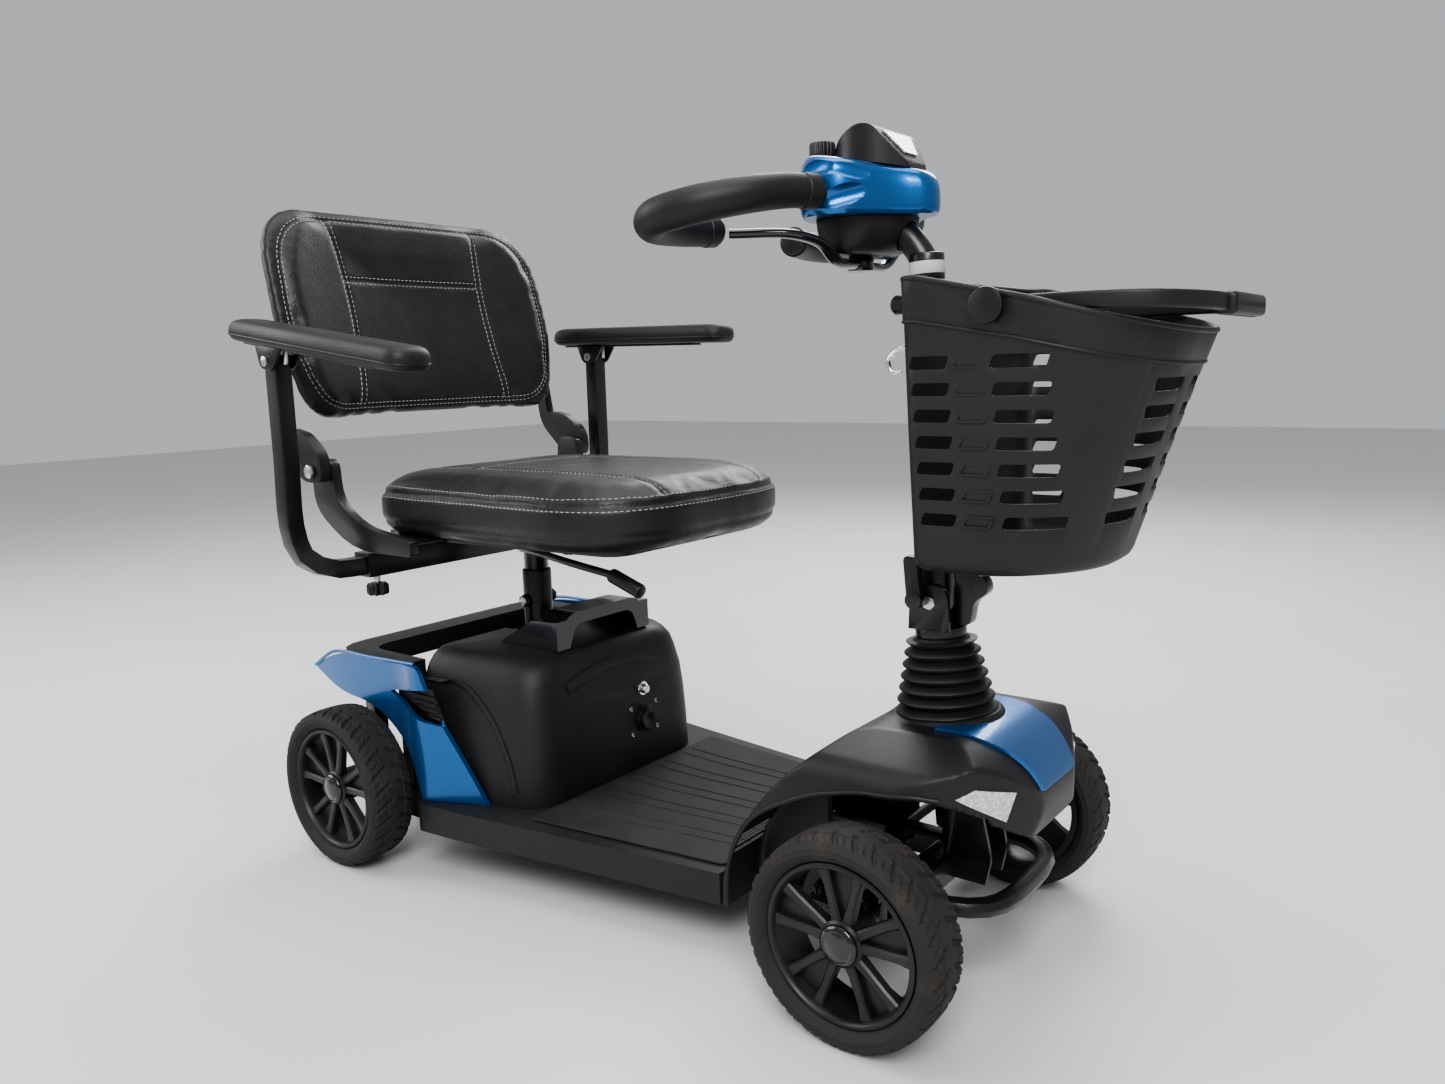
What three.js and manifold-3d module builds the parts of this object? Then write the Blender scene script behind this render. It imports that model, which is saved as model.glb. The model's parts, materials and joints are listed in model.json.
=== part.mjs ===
// A four-wheeled mobility scooter, as separate solids in millimetres.
// +X is forwards, +Y is the rider's left, +Z is up. The pieces are laid out with x = 0 over the front
// axle and z = 0 on the floor, and the group at the end is centred over its own footprint.
import * as THREE from "three";
import { mergeVertices } from "three/addons/utils/BufferGeometryUtils.js";
import Module from "manifold-3d";

const wasm = await Module();
wasm.setup();

// ---- driving dimensions ----
const wheelbase = 720;
const frontTrack = 388; // between the middles of the front tyres
const rearTrack = 460;
const tyreRadius = 100;
const tyreWidth = 60;
const tyreDepth = 23; // tread to rim seat
const deckTop = 95;
const deckDepth = 35;
const postAhead = 121; // seat post in front of the rear axle
const seatPlateTop = 416;
const seatHalfWidth = 200;
const backOverhang = 18; // each side of the back beyond the seat's side arms
const hingeBehind = 139; // back's hinge behind the seat post
const hingeUp = 82; // back's hinge above the seat plate
const backRecline = 14; // degrees
const armrestOut = 51; // middle of each armrest beyond the side arms
const armrestAhead = 6; // armrest pivot in front of the back's hinge
const armrestUp = 216; // armrest pivot above the seat plate
const armrestLength = 330;
const armrestDroop = { right: 8, left: 1 }; // degrees, set by each arm's stop screw
const columnRake = 5; // degrees the steering axis leans back
const columnX = -1; // where the steering axis meets the bonnet
const bonnetTop = 262;
const foldHeight = 112; // from the bonnet to the tiller's pivot, along the steering axis
const collarZ = 690;
const headZ = 750; // joint line between the two halves of the head
const basketBottom = 425;
const basketTop = 680;
const basketRear = 21;
const basketDepth = 214; // at the rim
const basketHalfWidth = 146; // at the rim
const basketFall = 49.875; // from the level part of the rim down to its front
const batteryAhead = 268; // front of the battery box from the rear axle
const batteryLength = 193;
const batteryTop = 272;

// ---- walls and clearances ----
const gap = 0.4; // between pieces that touch
const running = 0.5; // radial, round a turning or sliding piece
const skin = 4; // moulded shells
const basketWall = 2.6;

// ---- places that follow ----
const rearAxleX = -wheelbase;
const wheelTop = 2 * tyreRadius;
const seatPostX = rearAxleX + postAhead;
const sideArm = [seatHalfWidth + 5, seatHalfWidth + 17];
const backHingeX = seatPostX - hingeBehind;
const backHingeZ = seatPlateTop + hingeUp;
const backHalfWidth = sideArm[1] + backOverhang;
const armrestPivotX = backHingeX + armrestAhead;
const armrestPivotZ = seatPlateTop + armrestUp;
const armrestY = sideArm[1] + armrestOut;
const basketFront = basketRear + basketDepth;
const batteryFront = rearAxleX + batteryAhead;
const batteryRear = batteryFront - batteryLength;

const group = new THREE.Group();
const sides = [
  ["right", -1],
  ["left", 1],
];
const finishes = {
  blue: { color: 0x1769a8, roughness: 0.22, metalness: 0.55 },
  plastic: { color: 0x232427, roughness: 0.55, metalness: 0 },
  gloss: { color: 0x0c0c0e, roughness: 0.2, metalness: 0 },
  mat: { color: 0x2b2725, roughness: 0.85, metalness: 0 },
  leather: { color: 0x1d1d20, roughness: 0.5, metalness: 0 },
  rubber: { color: 0x2e2b28, roughness: 0.8, metalness: 0 },
  steel: { color: 0x111214, roughness: 0.35, metalness: 0.6 },
  zinc: { color: 0xb4b6b8, roughness: 0.35, metalness: 1 },
};

// ---- shape helpers ----
function solid(geometry) {
  geometry.deleteAttribute("normal");
  geometry.deleteAttribute("uv");
  const merged = mergeVertices(geometry, 1e-4);
  const vertProperties = merged.attributes.position.array;
  const triVerts = new Uint32Array(merged.index.array);
  const made = new wasm.Manifold(new wasm.Mesh({ numProp: 3, vertProperties, triVerts }));
  if (made.volume() >= 0) return made;
  return new wasm.Manifold(new wasm.Mesh({ numProp: 3, vertProperties, triVerts: triVerts.reverse() }));
}

function join(...pieces) {
  return pieces.reduce((whole, piece) => whole.add(piece));
}

function cut(whole, ...tools) {
  return tools.reduce((left, tool) => left.subtract(tool), whole);
}

function add(name, made, finish) {
  const mesh = made.getMesh();
  const geometry = new THREE.BufferGeometry();
  geometry.setAttribute("position", new THREE.BufferAttribute(new Float32Array(mesh.vertProperties), 3));
  geometry.setIndex(new THREE.BufferAttribute(new Uint32Array(mesh.triVerts), 1));
  geometry.computeVertexNormals();
  const piece = new THREE.Mesh(geometry, new THREE.MeshStandardMaterial(finishes[finish]));
  piece.name = name;
  group.add(piece);
}

// Corners are [u, v, radius]; a corner with a radius is rounded off in equal steps.
function outline(corners, steps = 4) {
  const at = (i) => new THREE.Vector2(...corners[(i + corners.length) % corners.length].slice(0, 2));
  return corners.flatMap(([, , radius = 0], i) => {
    const corner = at(i);
    if (!radius) return [corner];
    const back = at(i - 1).sub(corner);
    const on = at(i + 1).sub(corner);
    const reach = Math.min(radius, back.length() * 0.48, on.length() * 0.48);
    const start = corner.clone().addScaledVector(back.normalize(), reach);
    const end = corner.clone().addScaledVector(on.normalize(), reach);
    return new THREE.QuadraticBezierCurve(start, corner, end).getPoints(steps);
  });
}

function mirrored(half) {
  return [...half, ...half.map(([x, y, r]) => [x, -y, r]).reverse()];
}

function extrude(points, depth) {
  return new THREE.ExtrudeGeometry(new THREE.Shape(points), { depth, bevelEnabled: false });
}

// An XZ outline between two values of y.
function alongY(points, ya, yb) {
  const high = Math.max(ya, yb);
  return solid(extrude(points, Math.abs(yb - ya)).rotateX(Math.PI / 2).translate(0, high, 0));
}

// An XY outline between two heights.
function alongZ(points, low, high) {
  return solid(extrude(points, high - low).translate(0, 0, low));
}

// A YZ outline between two values of x.
function alongX(points, rear, front) {
  const turn = new THREE.Matrix4().makeBasis(
    new THREE.Vector3(0, 1, 0),
    new THREE.Vector3(0, 0, 1),
    new THREE.Vector3(1, 0, 0),
  );
  return solid(extrude(points, front - rear).applyMatrix4(turn).translate(rear, 0, 0));
}

function block(x0, x1, ya, yb, z0, z1) {
  const made = new THREE.BoxGeometry(x1 - x0, Math.abs(yb - ya), z1 - z0);
  return solid(made.translate((x0 + x1) / 2, (ya + yb) / 2, (z0 + z1) / 2));
}

function rod(from, to, radius, around = 16) {
  const a = new THREE.Vector3(...from);
  const b = new THREE.Vector3(...to);
  const made = new THREE.CylinderGeometry(radius, radius, a.distanceTo(b), around);
  const turn = new THREE.Quaternion().setFromUnitVectors(
    new THREE.Vector3(0, 1, 0),
    b.clone().sub(a).normalize(),
  );
  return solid(made.applyQuaternion(turn).translate(...a.add(b).multiplyScalar(0.5).toArray()));
}

// A profile of [radius, height] turned about the Y axis.
function turned(profile, around = 32) {
  return new THREE.LatheGeometry(profile.map(([r, h]) => new THREE.Vector2(r, h)), around);
}

function ring(inner, outer, half) {
  return [[inner, -half], [outer, -half], [outer, half], [inner, half], [inner, -half]];
}

function circle(radius, around) {
  return Array.from({ length: around }, (_, i) => {
    const angle = (2 * Math.PI * i) / around;
    return new THREE.Vector2(radius * Math.cos(angle), radius * Math.sin(angle));
  });
}

// A section swept along a smooth curve, its first axis kept as near as can be to `across`.
function sweep(points, section, steps = 12, across = [0, 1, 0]) {
  const path = new THREE.CatmullRomCurve3(points.map((p) => new THREE.Vector3(...p)), false, "centripetal");
  const held = new THREE.Vector3(...across);
  const rings = Array.from({ length: steps + 1 }, (_, i) => {
    const at = path.getPointAt(i / steps);
    const ahead = path.getTangentAt(i / steps);
    const u = held.clone().addScaledVector(ahead, -ahead.dot(held)).normalize();
    const v = ahead.clone().cross(u);
    return section.map((p) => at.clone().addScaledVector(u, p.x).addScaledVector(v, p.y));
  });
  return loft(rings);
}

// A skin through rings of equal counts, closed by a fan at each end.
function loft(rings) {
  const count = rings[0].length;
  const points = rings.flat();
  const index = [];
  rings.slice(1).forEach((_, r) => {
    for (let i = 0; i < count; i++) {
      const [a, b] = [r * count + i, r * count + ((i + 1) % count)];
      index.push(a, b, b + count, a, b + count, a + count);
    }
  });
  [rings[0], rings.at(-1)].forEach((end, e) => {
    const base = e ? count * (rings.length - 1) : 0;
    const middle = end.reduce((sum, p) => sum.add(p), new THREE.Vector3()).divideScalar(count);
    points.push(middle);
    for (let i = 0; i < count; i++) {
      const [a, b] = [base + i, base + ((i + 1) % count)];
      index.push(...(e ? [a, b, points.length - 1] : [b, a, points.length - 1]));
    }
  });
  const geometry = new THREE.BufferGeometry().setFromPoints(points);
  return solid(geometry.setIndex(index));
}

// The steering axis: distance up it from the bonnet to a point.
const rake = THREE.MathUtils.degToRad(columnRake);
function onColumn(up) {
  return [columnX - up * Math.sin(rake), 0, bonnetTop + up * Math.cos(rake)];
}

function columnTurned(profile, around) {
  return solid(turned(profile, around).rotateX(Math.PI / 2).rotateY(-rake).translate(...onColumn(0)));
}

// ---- wheels ----
const rimRadius = tyreRadius - tyreDepth;
const hubRadius = 20;
const hubOut = 24; // hub face beyond the tyre's middle plane
const hubIn = 16;
const shaftRadius = 8;
const kingpinInset = 15; // tyre's inner face to the kingpin
const kingpinY = frontTrack / 2 - tyreWidth / 2 - kingpinInset;

function tyre(x, y) {
  const half = tyreWidth / 2;
  const profile = [
    [rimRadius, -22],
    [rimRadius + 7, -half],
    [tyreRadius - 9, -half],
    [tyreRadius - 1.5, -half + 10],
    [tyreRadius, 0],
    [tyreRadius - 1.5, half - 10],
    [tyreRadius - 9, half],
    [rimRadius + 7, half],
    [rimRadius, 22],
    [rimRadius, -22],
  ];
  return solid(turned(profile, 28).translate(x, y, tyreRadius));
}

function rim(x, y, side) {
  const inner = rimRadius - 7;
  const spokeWidth = 11;
  const spokeThick = 9;
  const pairAngle = 15; // degrees from the middle of a pair to each spoke
  const barrel = solid(turned(ring(inner, rimRadius - gap - 0.6, 24), 24).translate(x, y, tyreRadius));
  const hub = rod([x, y - side * hubIn, tyreRadius], [x, y + side * hubOut, tyreRadius], hubRadius, 12);
  const spokes = [0, 1, 2, 3, 4].flatMap((pair) =>
    [-1, 1].map((k) => {
      const angle = THREE.MathUtils.degToRad(90 + pair * 72 + k * pairAngle);
      const made = new THREE.BoxGeometry(inner + 1 - hubRadius / 2, spokeThick, spokeWidth);
      made.translate((inner + 1 + hubRadius / 2) / 2, 0, 0).rotateY(angle);
      return solid(made.translate(x, y + side * 13, tyreRadius));
    }),
  );
  const bore = rod(
    [x, y - side * (hubIn + 1), tyreRadius],
    [x, y + side * (hubOut - 6), tyreRadius],
    shaftRadius + running,
    12,
  );
  return cut(join(barrel, hub, ...spokes), bore);
}

for (const [side, s] of sides) {
  add(`front_tyre_${side}`, tyre(0, (s * frontTrack) / 2), "rubber");
  add(`front_rim_${side}`, rim(0, (s * frontTrack) / 2, s), "plastic");
  add(`rear_tyre_${side}`, tyre(rearAxleX, (s * rearTrack) / 2), "rubber");
  add(`rear_rim_${side}`, rim(rearAxleX, (s * rearTrack) / 2, s), "plastic");
}

// ---- front axle and steering linkage ----
const rearRail = [tyreRadius - 42, tyreRadius - 20]; // the rails' lowest and highest points
const frontRail = [rearRail[0] + 8, deckTop - 6];
const armLength = 62; // steering arms, on the knuckles and on the column
const armIn = 2; // knuckle arm's middle, inboard of its kingpin
const beamHalf = 15;
const lugThick = 6;
const kingpinRadius = 5;
const barrelRadius = 11;
const barrelHalf = 17;
const lugGap = 1;
const webIn = 20; // fork's upright, inboard of the kingpin
const tieRodRadius = 6;
const tieRodUp = 17; // clear height of the tie rod over the rails
const tieRodZ = frontRail[1] + tieRodUp + tieRodRadius;
const pitmanUp = 8.54; // column's foot above the tie rod
const columnFoot = (tieRodZ + pitmanUp - bonnetTop) / Math.cos(rake);

for (const [side, s] of sides) {
  const stubEnd = s * (frontTrack / 2 + hubOut - 8);
  const barrel = rod([0, s * kingpinY, axle(-barrelHalf)], [0, s * kingpinY, axle(barrelHalf)], barrelRadius);
  const stub = rod([0, s * kingpinY, tyreRadius], [0, stubEnd, tyreRadius], shaftRadius);
  const arm = block(
    -armLength - 9,
    0,
    s * (kingpinY - armIn - 7),
    s * (kingpinY - armIn + 7),
    axle(-5),
    axle(3),
  );
  const bore = rod([0, s * kingpinY, axle(-30)], [0, s * kingpinY, axle(30)], kingpinRadius + running);
  add(`knuckle_${side}`, cut(join(barrel, stub, arm), bore), "steel");
}

function axle(up) {
  return tyreRadius + up;
}

const ballJoints = [-1, 1].map((s) => {
  const y = s * (kingpinY - armIn);
  return rod([-armLength, y, axle(3) + gap], [-armLength, y, tieRodZ], tieRodRadius + 1);
});
const pitmanFoot = onColumn(columnFoot);
const dragPlate = block(
  -armLength - 7, pitmanFoot[0] - armLength + 9, -8, 8, tieRodZ - 4, pitmanFoot[2] - gap - 1,
);
add(
  "tie_rod",
  join(
    rod([-armLength, -kingpinY, tieRodZ], [-armLength, kingpinY, tieRodZ], tieRodRadius, 12),
    dragPlate,
    ...ballJoints,
  ),
  "steel",
);

const columnRadius = 14;
const clevisInner = 17;
const clevisOuter = 23;
const foldPivot = onColumn(foldHeight);
const clevisOutline = outline([
  [foldPivot[0] - 22, foldPivot[2] - 28],
  [foldPivot[0] + 22, foldPivot[2] - 28],
  [foldPivot[0] + 20, foldPivot[2] + 18, 14],
  [foldPivot[0] - 20, foldPivot[2] + 18, 14],
]);
const clevisCheeks = [-1, 1].map((s) => alongY(clevisOutline, s * clevisInner, s * clevisOuter));
const pitmanArm = block(
  pitmanFoot[0] - armLength - 8, pitmanFoot[0], -8, 8, pitmanFoot[2], pitmanFoot[2] + 7,
);
add(
  "steering_column",
  join(
    rod(onColumn(columnFoot), onColumn(foldHeight - 28), columnRadius, 20),
    rod(onColumn(foldHeight - 36), onColumn(foldHeight - 27), clevisOuter + 3, 20),
    pitmanArm,
    ...clevisCheeks,
    rod(
      [foldPivot[0], 1 - clevisOuter, foldPivot[2]],
      [foldPivot[0], clevisOuter - 1, foldPivot[2]],
      kingpinRadius,
      12,
    ),
  ),
  "steel",
);

// ---- bellows over the column ----
const bellowsBase = 52;
const bellowsTop = 36;
const bellowsPleats = 5;
const bellowsHeight = 72;
const bellowsWall = 2.5;
const pleats = Array.from({ length: bellowsPleats * 2 + 1 }, (_, i) => {
  const share = i / (bellowsPleats * 2);
  const crest = i % 2 ? 0 : 8;
  return [bellowsBase + (bellowsTop - bellowsBase) * share + crest - 8, gap + bellowsHeight * share];
});
const inside = pleats.map(([r, up]) => [r - bellowsWall, up]).reverse();
const neck = columnRadius + running;
add(
  "steering_bellows",
  columnTurned(
    [
      ...pleats,
      [neck + 8, bellowsHeight + 3],
      [neck, bellowsHeight + 3],
      [neck, bellowsHeight - 1],
      ...inside.slice(1),
      pleats[0],
    ],
    18,
  ),
  "rubber",
);

// ---- frames ----
const railInner = 58;
const railOuter = 82;
const frameJoint = batteryFront - 6; // where the front and rear halves of the frame meet
const headTubeRadius = 20;

function frontFrame() {
  const rails = [-1, 1].map((s) => block(frameJoint, beamHalf, s * railInner, s * railOuter, ...frontRail));
  const ties = [frameJoint, -320, -200].map((x) => block(x, x + 20, -railInner, railInner, ...frontRail));
  const beam = block(-beamHalf, beamHalf, -kingpinY + webIn + 5, kingpinY - webIn - 5, axle(-14), axle(12));
  const ends = [-1, 1].flatMap((s) => [
    block(
      -9,
      9,
      s * (kingpinY - webIn - 6),
      s * (kingpinY - webIn),
      axle(-barrelHalf - 7),
      axle(barrelHalf + 7),
    ),
    ...[-1, 1].map((up) => {
      const near = up * (barrelHalf + lugGap);
      const far = up * (barrelHalf + lugGap + lugThick);
      const [low, high] = [axle(Math.min(near, far)), axle(Math.max(near, far))];
      return block(-9, 9, s * (kingpinY - webIn - 3), s * (kingpinY + 11), low, high);
    }),
    rod([0, s * kingpinY, axle(-barrelHalf - 4)], [0, s * kingpinY, axle(barrelHalf + 4)], kingpinRadius),
  ]);
  const cheeks = outline([
    [8, axle(-8)],
    [52, axle(-8)],
    [58, axle(20), 8],
    [34, bonnetTop - 36],
    [0, bonnetTop - 36],
  ]);
  const webs = [-1, 1].map((s) => alongY(cheeks, s * clevisInner, s * (clevisInner + 5)));
  const headTube = rod(onColumn(columnFoot + 20), onColumn(-28), headTubeRadius, 24);
  const bore = rod(onColumn(columnFoot - 8), onColumn(-20), columnRadius + running, 24);
  const bumper = sweep(
    [[8, -90, -2], [50, -90, -2], [80, -66, -3], [88, 0, -4], [80, 66, -3], [50, 90, -2], [8, 90, -2]].map(
      ([x, y, up]) => [x, y, axle(up)],
    ),
    circle(10, 8),
    16,
    [0, 0, 1],
  );
  return join(cut(join(headTube, ...webs), bore), ...rails, ...ties, beam, ...ends, bumper);
}
add("front_frame", frontFrame(), "steel");

const postOuter = 19;
const postInner = 16;
const postTop = seatPlateTop - 64; // top of the fixed outer tube
const shelfZ = tyreRadius + 45;
const rearFrameEnd = rearAxleX - 80;

function rearFrame() {
  const rails = [-1, 1].map((s) => block(
    rearFrameEnd,
    frameJoint - 1,
    s * railInner,
    s * railOuter,
    ...rearRail,
  ));
  const tie = block(seatPostX - 22, seatPostX + 22, -railInner, railInner, ...rearRail);
  const tail = block(
    rearFrameEnd,
    rearFrameEnd + 20,
    10 - hoopInner,
    hoopInner - 10,
    rearRail[0],
    rearRail[0] + 12,
  );
  const uprights = [-1, 1].map((s) =>
    block(
      rearFrameEnd,
      rearFrameEnd + 20,
      s * (hoopInner - 30),
      s * (hoopInner - 10),
      rearRail[0],
      hoopBottom - gap,
    ),
  );
  const socket = cut(
    rod([seatPostX, 0, rearRail[0]], [seatPostX, 0, postTop], postOuter, 24),
    rod([seatPostX, 0, postFoot - 2], [seatPostX, 0, postTop + 1], postInner + running, 24),
  );
  const bolt = [-1, 1].map((s) =>
    rod(
      [seatPostX, s * (postOuter - 1.5), postTop - 40],
      [seatPostX, s * (postOuter + 8), postTop - 40],
      9,
      6,
    ),
  );
  const legs = [-1, 1].map((s) =>
    block(rearAxleX + axleTube + 3, rearAxleX + 52, s * 62, s * 74, rearRail[0], shelfZ + 4),
  );
  const shelf = block(rearAxleX - 50, rearAxleX + 52, -75, 75, shelfZ, shelfZ + 4);
  return join(...rails, tie, tail, ...uprights, socket, ...bolt, ...legs, shelf);
}
const axleTube = 14;
const hoopBottom = wheelTop + 28;
const bayHalf = rearTrack / 2 - tyreWidth / 2 - 10; // between the rear wheels
const hoopOuter = bayHalf - 8;
const hoopInner = hoopOuter - 30;
const postFoot = 200;
add("rear_frame", rearFrame(), "steel");

// ---- deck ----
const skirtRearX = rearAxleX + tyreRadius + 14;
const skirtFrontX = -180;
const skirtFront = 156; // half width
const skirtRear = 214;

function deckHalf(inset) {
  return [
    [skirtFrontX - inset * 0.2, skirtFront - inset],
    [rearAxleX + 320, 187 - inset, 60],
    [rearAxleX + 180, 208 - inset, 60],
    [skirtRearX + inset, skirtRear - inset, 16],
    [skirtRearX + inset, bayHalf - inset],
    [batteryRear - 17 + inset, bayHalf - inset, 12],
  ];
}
add(
  "deck_tray",
  cut(
    alongZ(outline(mirrored(deckHalf(0))), deckTop - deckDepth, deckTop),
    alongZ(outline(mirrored(deckHalf(5))), deckTop - deckDepth - 1, deckTop - 5),
    block(rearAxleX - 180, 0, -railOuter - 2, railOuter + 2, deckTop - deckDepth - 1, deckTop - 5),
    rod([seatPostX, 0, deckTop - 10], [seatPostX, 0, deckTop + 1], postOuter + 1, 24),
  ),
  "plastic",
);

const matRear = batteryFront + 6;
add(
  "deck_mat",
  alongZ(
    outline(mirrored([[skirtFrontX - 4, 140, 10], [skirtFrontX - 120, 154, 40], [matRear, 172, 10]])),
    deckTop + gap,
    deckTop + 3.4,
  ),
  "mat",
);

// ---- front shroud ----
// The outer surface is where three outlines meet; a positive inset moves all of them inwards.
function shroudBody(inset) {
  const side = outline(
    [
      [skirtFrontX + 2 + inset, deckTop - deckDepth - inset],
      [skirtFrontX + 5 + inset, deckTop + 3],
      [-150 + inset, 156, 30],
      [-108 + inset, 210 - inset, 40],
      [-58, bonnetTop - 8 - inset, 30],
      [-40, bonnetTop - 4 - inset, 10],
      [56, bonnetTop - 2 - inset, 20],
      [98 - inset, 241 - inset, 20],
      [121 - inset, 204, 15],
      [112 - inset, 166, 10],
      [91 - inset, 131 - inset],
      [-120, 60 - inset],
    ],
    3,
  );
  const front = outline(
    mirrored([
      [-157 + inset, 40],
      [-157 + inset, 205, 15],
      [-148 + inset, 238 - inset, 24],
      [-92, 255 - inset, 40],
      [-58, bonnetTop + 4 - inset, 20],
    ].map(([y, z, r]) => [z, y, r])).map(([z, y, r]) => [y, z, r]),
    3,
  );
  const plan = outline(
    mirrored([
      [skirtFrontX, -157 + inset],
      [-60, -159 + inset, 40],
      [22, -154 + inset, 50],
      [72 - inset, -130 + inset, 40],
      [106 - inset, -72, 30],
      [124 - inset, -24, 30],
    ]),
    3,
  );
  return alongY(side, -170, 170)
    .intersect(alongX(front, -200, 140))
    .intersect(alongZ(plan, 20, 300));
}

const wellInner = frontTrack / 2 - tyreWidth / 2 - 66; // wheel wells reach in to this half width
const archOutline = outline(
  [
    [-170, 40],
    [-168, 118, 30],
    [-138, 168, 40],
    [-70, 205, 40],
    [0, 220, 40],
    [80, 224, 30],
    [180, 214],
    [180, 40],
  ],
  3,
);
const bellowsSeat = bellowsBase + 4;
const bonnetPlan = outline(mirrored([[16, -66, 6], [76, -50, 30], [108, -18, 20]]), 3);
const bonnetCut = alongZ(bonnetPlan, 200, 300);
const seatRing = solid(
  turned([[0, -30], [bellowsSeat, -30], [bellowsSeat, 0], [0, 0], [0, -30]], 32)
    .rotateX(Math.PI / 2)
    .rotateY(-rake)
    .translate(...onColumn(0)),
);
const cavity = shroudBody(skin).intersect(block(-300, 300, -wellInner + skin, wellInner - skin, 0, 400));
const noseLower = outline([
  [-wellInner - 1, 194],
  [0, 131],
  [wellInner + 1, 194],
  [wellInner + 1, 20],
  [-wellInner - 1, 20],
]);
add(
  "front_shroud",
  cut(
    join(shroudBody(0), seatRing),
    cavity,
    alongY(archOutline, wellInner, 200),
    alongY(archOutline, -wellInner, -200),
    block(-80, 140, -wellInner - 1, wellInner + 1, 20, 205),
    block(-200, -100, -railOuter - 2, railOuter + 2, 20, deckTop - 5),
    alongX(noseLower, -80, 200),
    rod(onColumn(-60), onColumn(10), headTubeRadius + 6, 24),
  ),
  "plastic",
);
add(
  "bonnet_panel",
  cut(
    shroudBody(-3).intersect(bonnetCut),
    shroudBody(-gap),
    rod(onColumn(-60), onColumn(40), bellowsSeat + 1, 32),
  ),
  "blue",
);

// ---- rear body ----
const hoopTop = hoopBottom + 28;
const hoopRear = rearAxleX - 86;
const hoopArmEnd = batteryRear + 10;

function rearHoop() {
  const ringOut = outline(mirrored([[hoopArmEnd, -hoopOuter], [hoopRear, -hoopOuter, 50]].reverse()));
  const ringIn = outline(mirrored([[hoopRear + 42, -hoopInner, 30], [hoopArmEnd + 1, -hoopInner]]));
  const post = [-1, 1].map((s) =>
    block(
      batteryRear - 22,
      batteryRear - 3,
      s * (hoopInner + 6),
      s * hoopOuter,
      deckTop + gap,
      hoopBottom + 1,
    ),
  );
  const ring = cut(alongZ(ringOut, hoopBottom, hoopTop), alongZ(ringIn, hoopBottom - 1, hoopTop + 1));
  return cut(join(ring, ...post), alongZ(batteryPlan(-2), deckTop - 1, 400));
}

// The battery box: one rounded plan, drawn in as it goes up.
const batteryLevels = [
  [deckTop + gap, 0, 188, 152],
  [batteryTop - 92, 3, 180, 149],
  [batteryTop - 34, 10, 164, 141],
  [batteryTop - 10, 18, 152, 130],
  [batteryTop, 34, 138, 112],
];

function batteryPlan(inset, level = 0) {
  const [, back, rearHalf, frontHalf] = batteryLevels[level];
  const draw = Math.max(0, back - 10) * 0.4;
  return outline(
    mirrored([
      [batteryFront - batteryLength + draw + inset, -rearHalf + inset, 16],
      [batteryFront - back - inset, -frontHalf + inset, 46],
    ]),
    5,
  );
}

function batteryBody(inset) {
  return loft(
    batteryLevels.map(([z], level) => {
      const height = level ? z - inset : z - 1;
      return batteryPlan(inset, level).map((p) => new THREE.Vector3(p.x, p.y, height));
    }),
  );
}
add("rear_hoop", rearHoop(), "plastic");

const fenderOutline = outline([
  [rearAxleX - 114, wheelTop + 29, 6],
  [rearAxleX - 60, wheelTop + 56, 30],
  [rearAxleX + 120, wheelTop + 63, 6],
  [rearAxleX + 136, wheelTop + 15, 30],
  [rearAxleX + 200, deckTop + gap],
  [rearAxleX + 116, deckTop + gap],
  [rearAxleX + 98, wheelTop - 50, 30],
  [rearAxleX + 30, wheelTop, 50],
  [rearAxleX - 52, wheelTop + 5, 30],
]);
const fenderWall = 6;
const fenderLine = [
  [rearAxleX - 120, 190, 0],
  [rearAxleX - 44, 197, 60],
  [rearAxleX + 80, 197, 20],
  [rearAxleX + 116, 206, 20],
  [rearAxleX + 175, 181, 20],
  [rearAxleX + 220, 167, 0],
];
for (const [side, s] of sides) {
  const inner = fenderLine.map(([x, y, r]) => [x, s * (y - fenderWall), r]).reverse();
  const plan = outline([...fenderLine.map(([x, y, r]) => [x, s * y, r]), ...inner]);
  const shell = alongY(fenderOutline, s * 140, s * 214).intersect(alongZ(plan, deckTop - 5, wheelTop + 80));
  add(`fender_${side}`, shell, "blue");
}

// ---- drive ----
const gearRadius = 40;
const gearHalf = 28;
const motorRadius = 30;
const motorLength = 96;
const motorAt = [rearAxleX - 52, tyreRadius + 12];
const shaftInner = 40;
const gearcase = outline([
  [rearAxleX + gearRadius, tyreRadius - gearRadius, 30],
  [rearAxleX + gearRadius, tyreRadius + gearRadius, 30],
  [motorAt[0] - motorRadius, motorAt[1] + motorRadius, 26],
  [motorAt[0] - motorRadius, motorAt[1] - motorRadius, 26],
]);
add(
  "transaxle",
  cut(
    join(
      alongY(gearcase, -gearHalf, gearHalf),
      rod([rearAxleX, -150, tyreRadius], [rearAxleX, 150, tyreRadius], axleTube, 16),
      rod([motorAt[0], -gearHalf - 24, motorAt[1]], [motorAt[0], -gearHalf + 1, motorAt[1]], 24, 20),
    ),
    ...[-1, 1].map((s) =>
      rod(
        [rearAxleX, s * 160, tyreRadius],
        [rearAxleX, s * (shaftInner - 1), tyreRadius],
        shaftRadius + running,
      ),
    ),
  ),
  "steel",
);
add(
  "drive_motor",
  join(
    rod([motorAt[0], gearHalf + gap, motorAt[1]], [motorAt[0], motorLength, motorAt[1]], motorRadius, 24),
    rod(
      [motorAt[0], motorLength - 1, motorAt[1]],
      [motorAt[0], motorLength + 14, motorAt[1]],
      motorRadius - 7,
      20,
    ),
  ),
  "steel",
);
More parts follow.
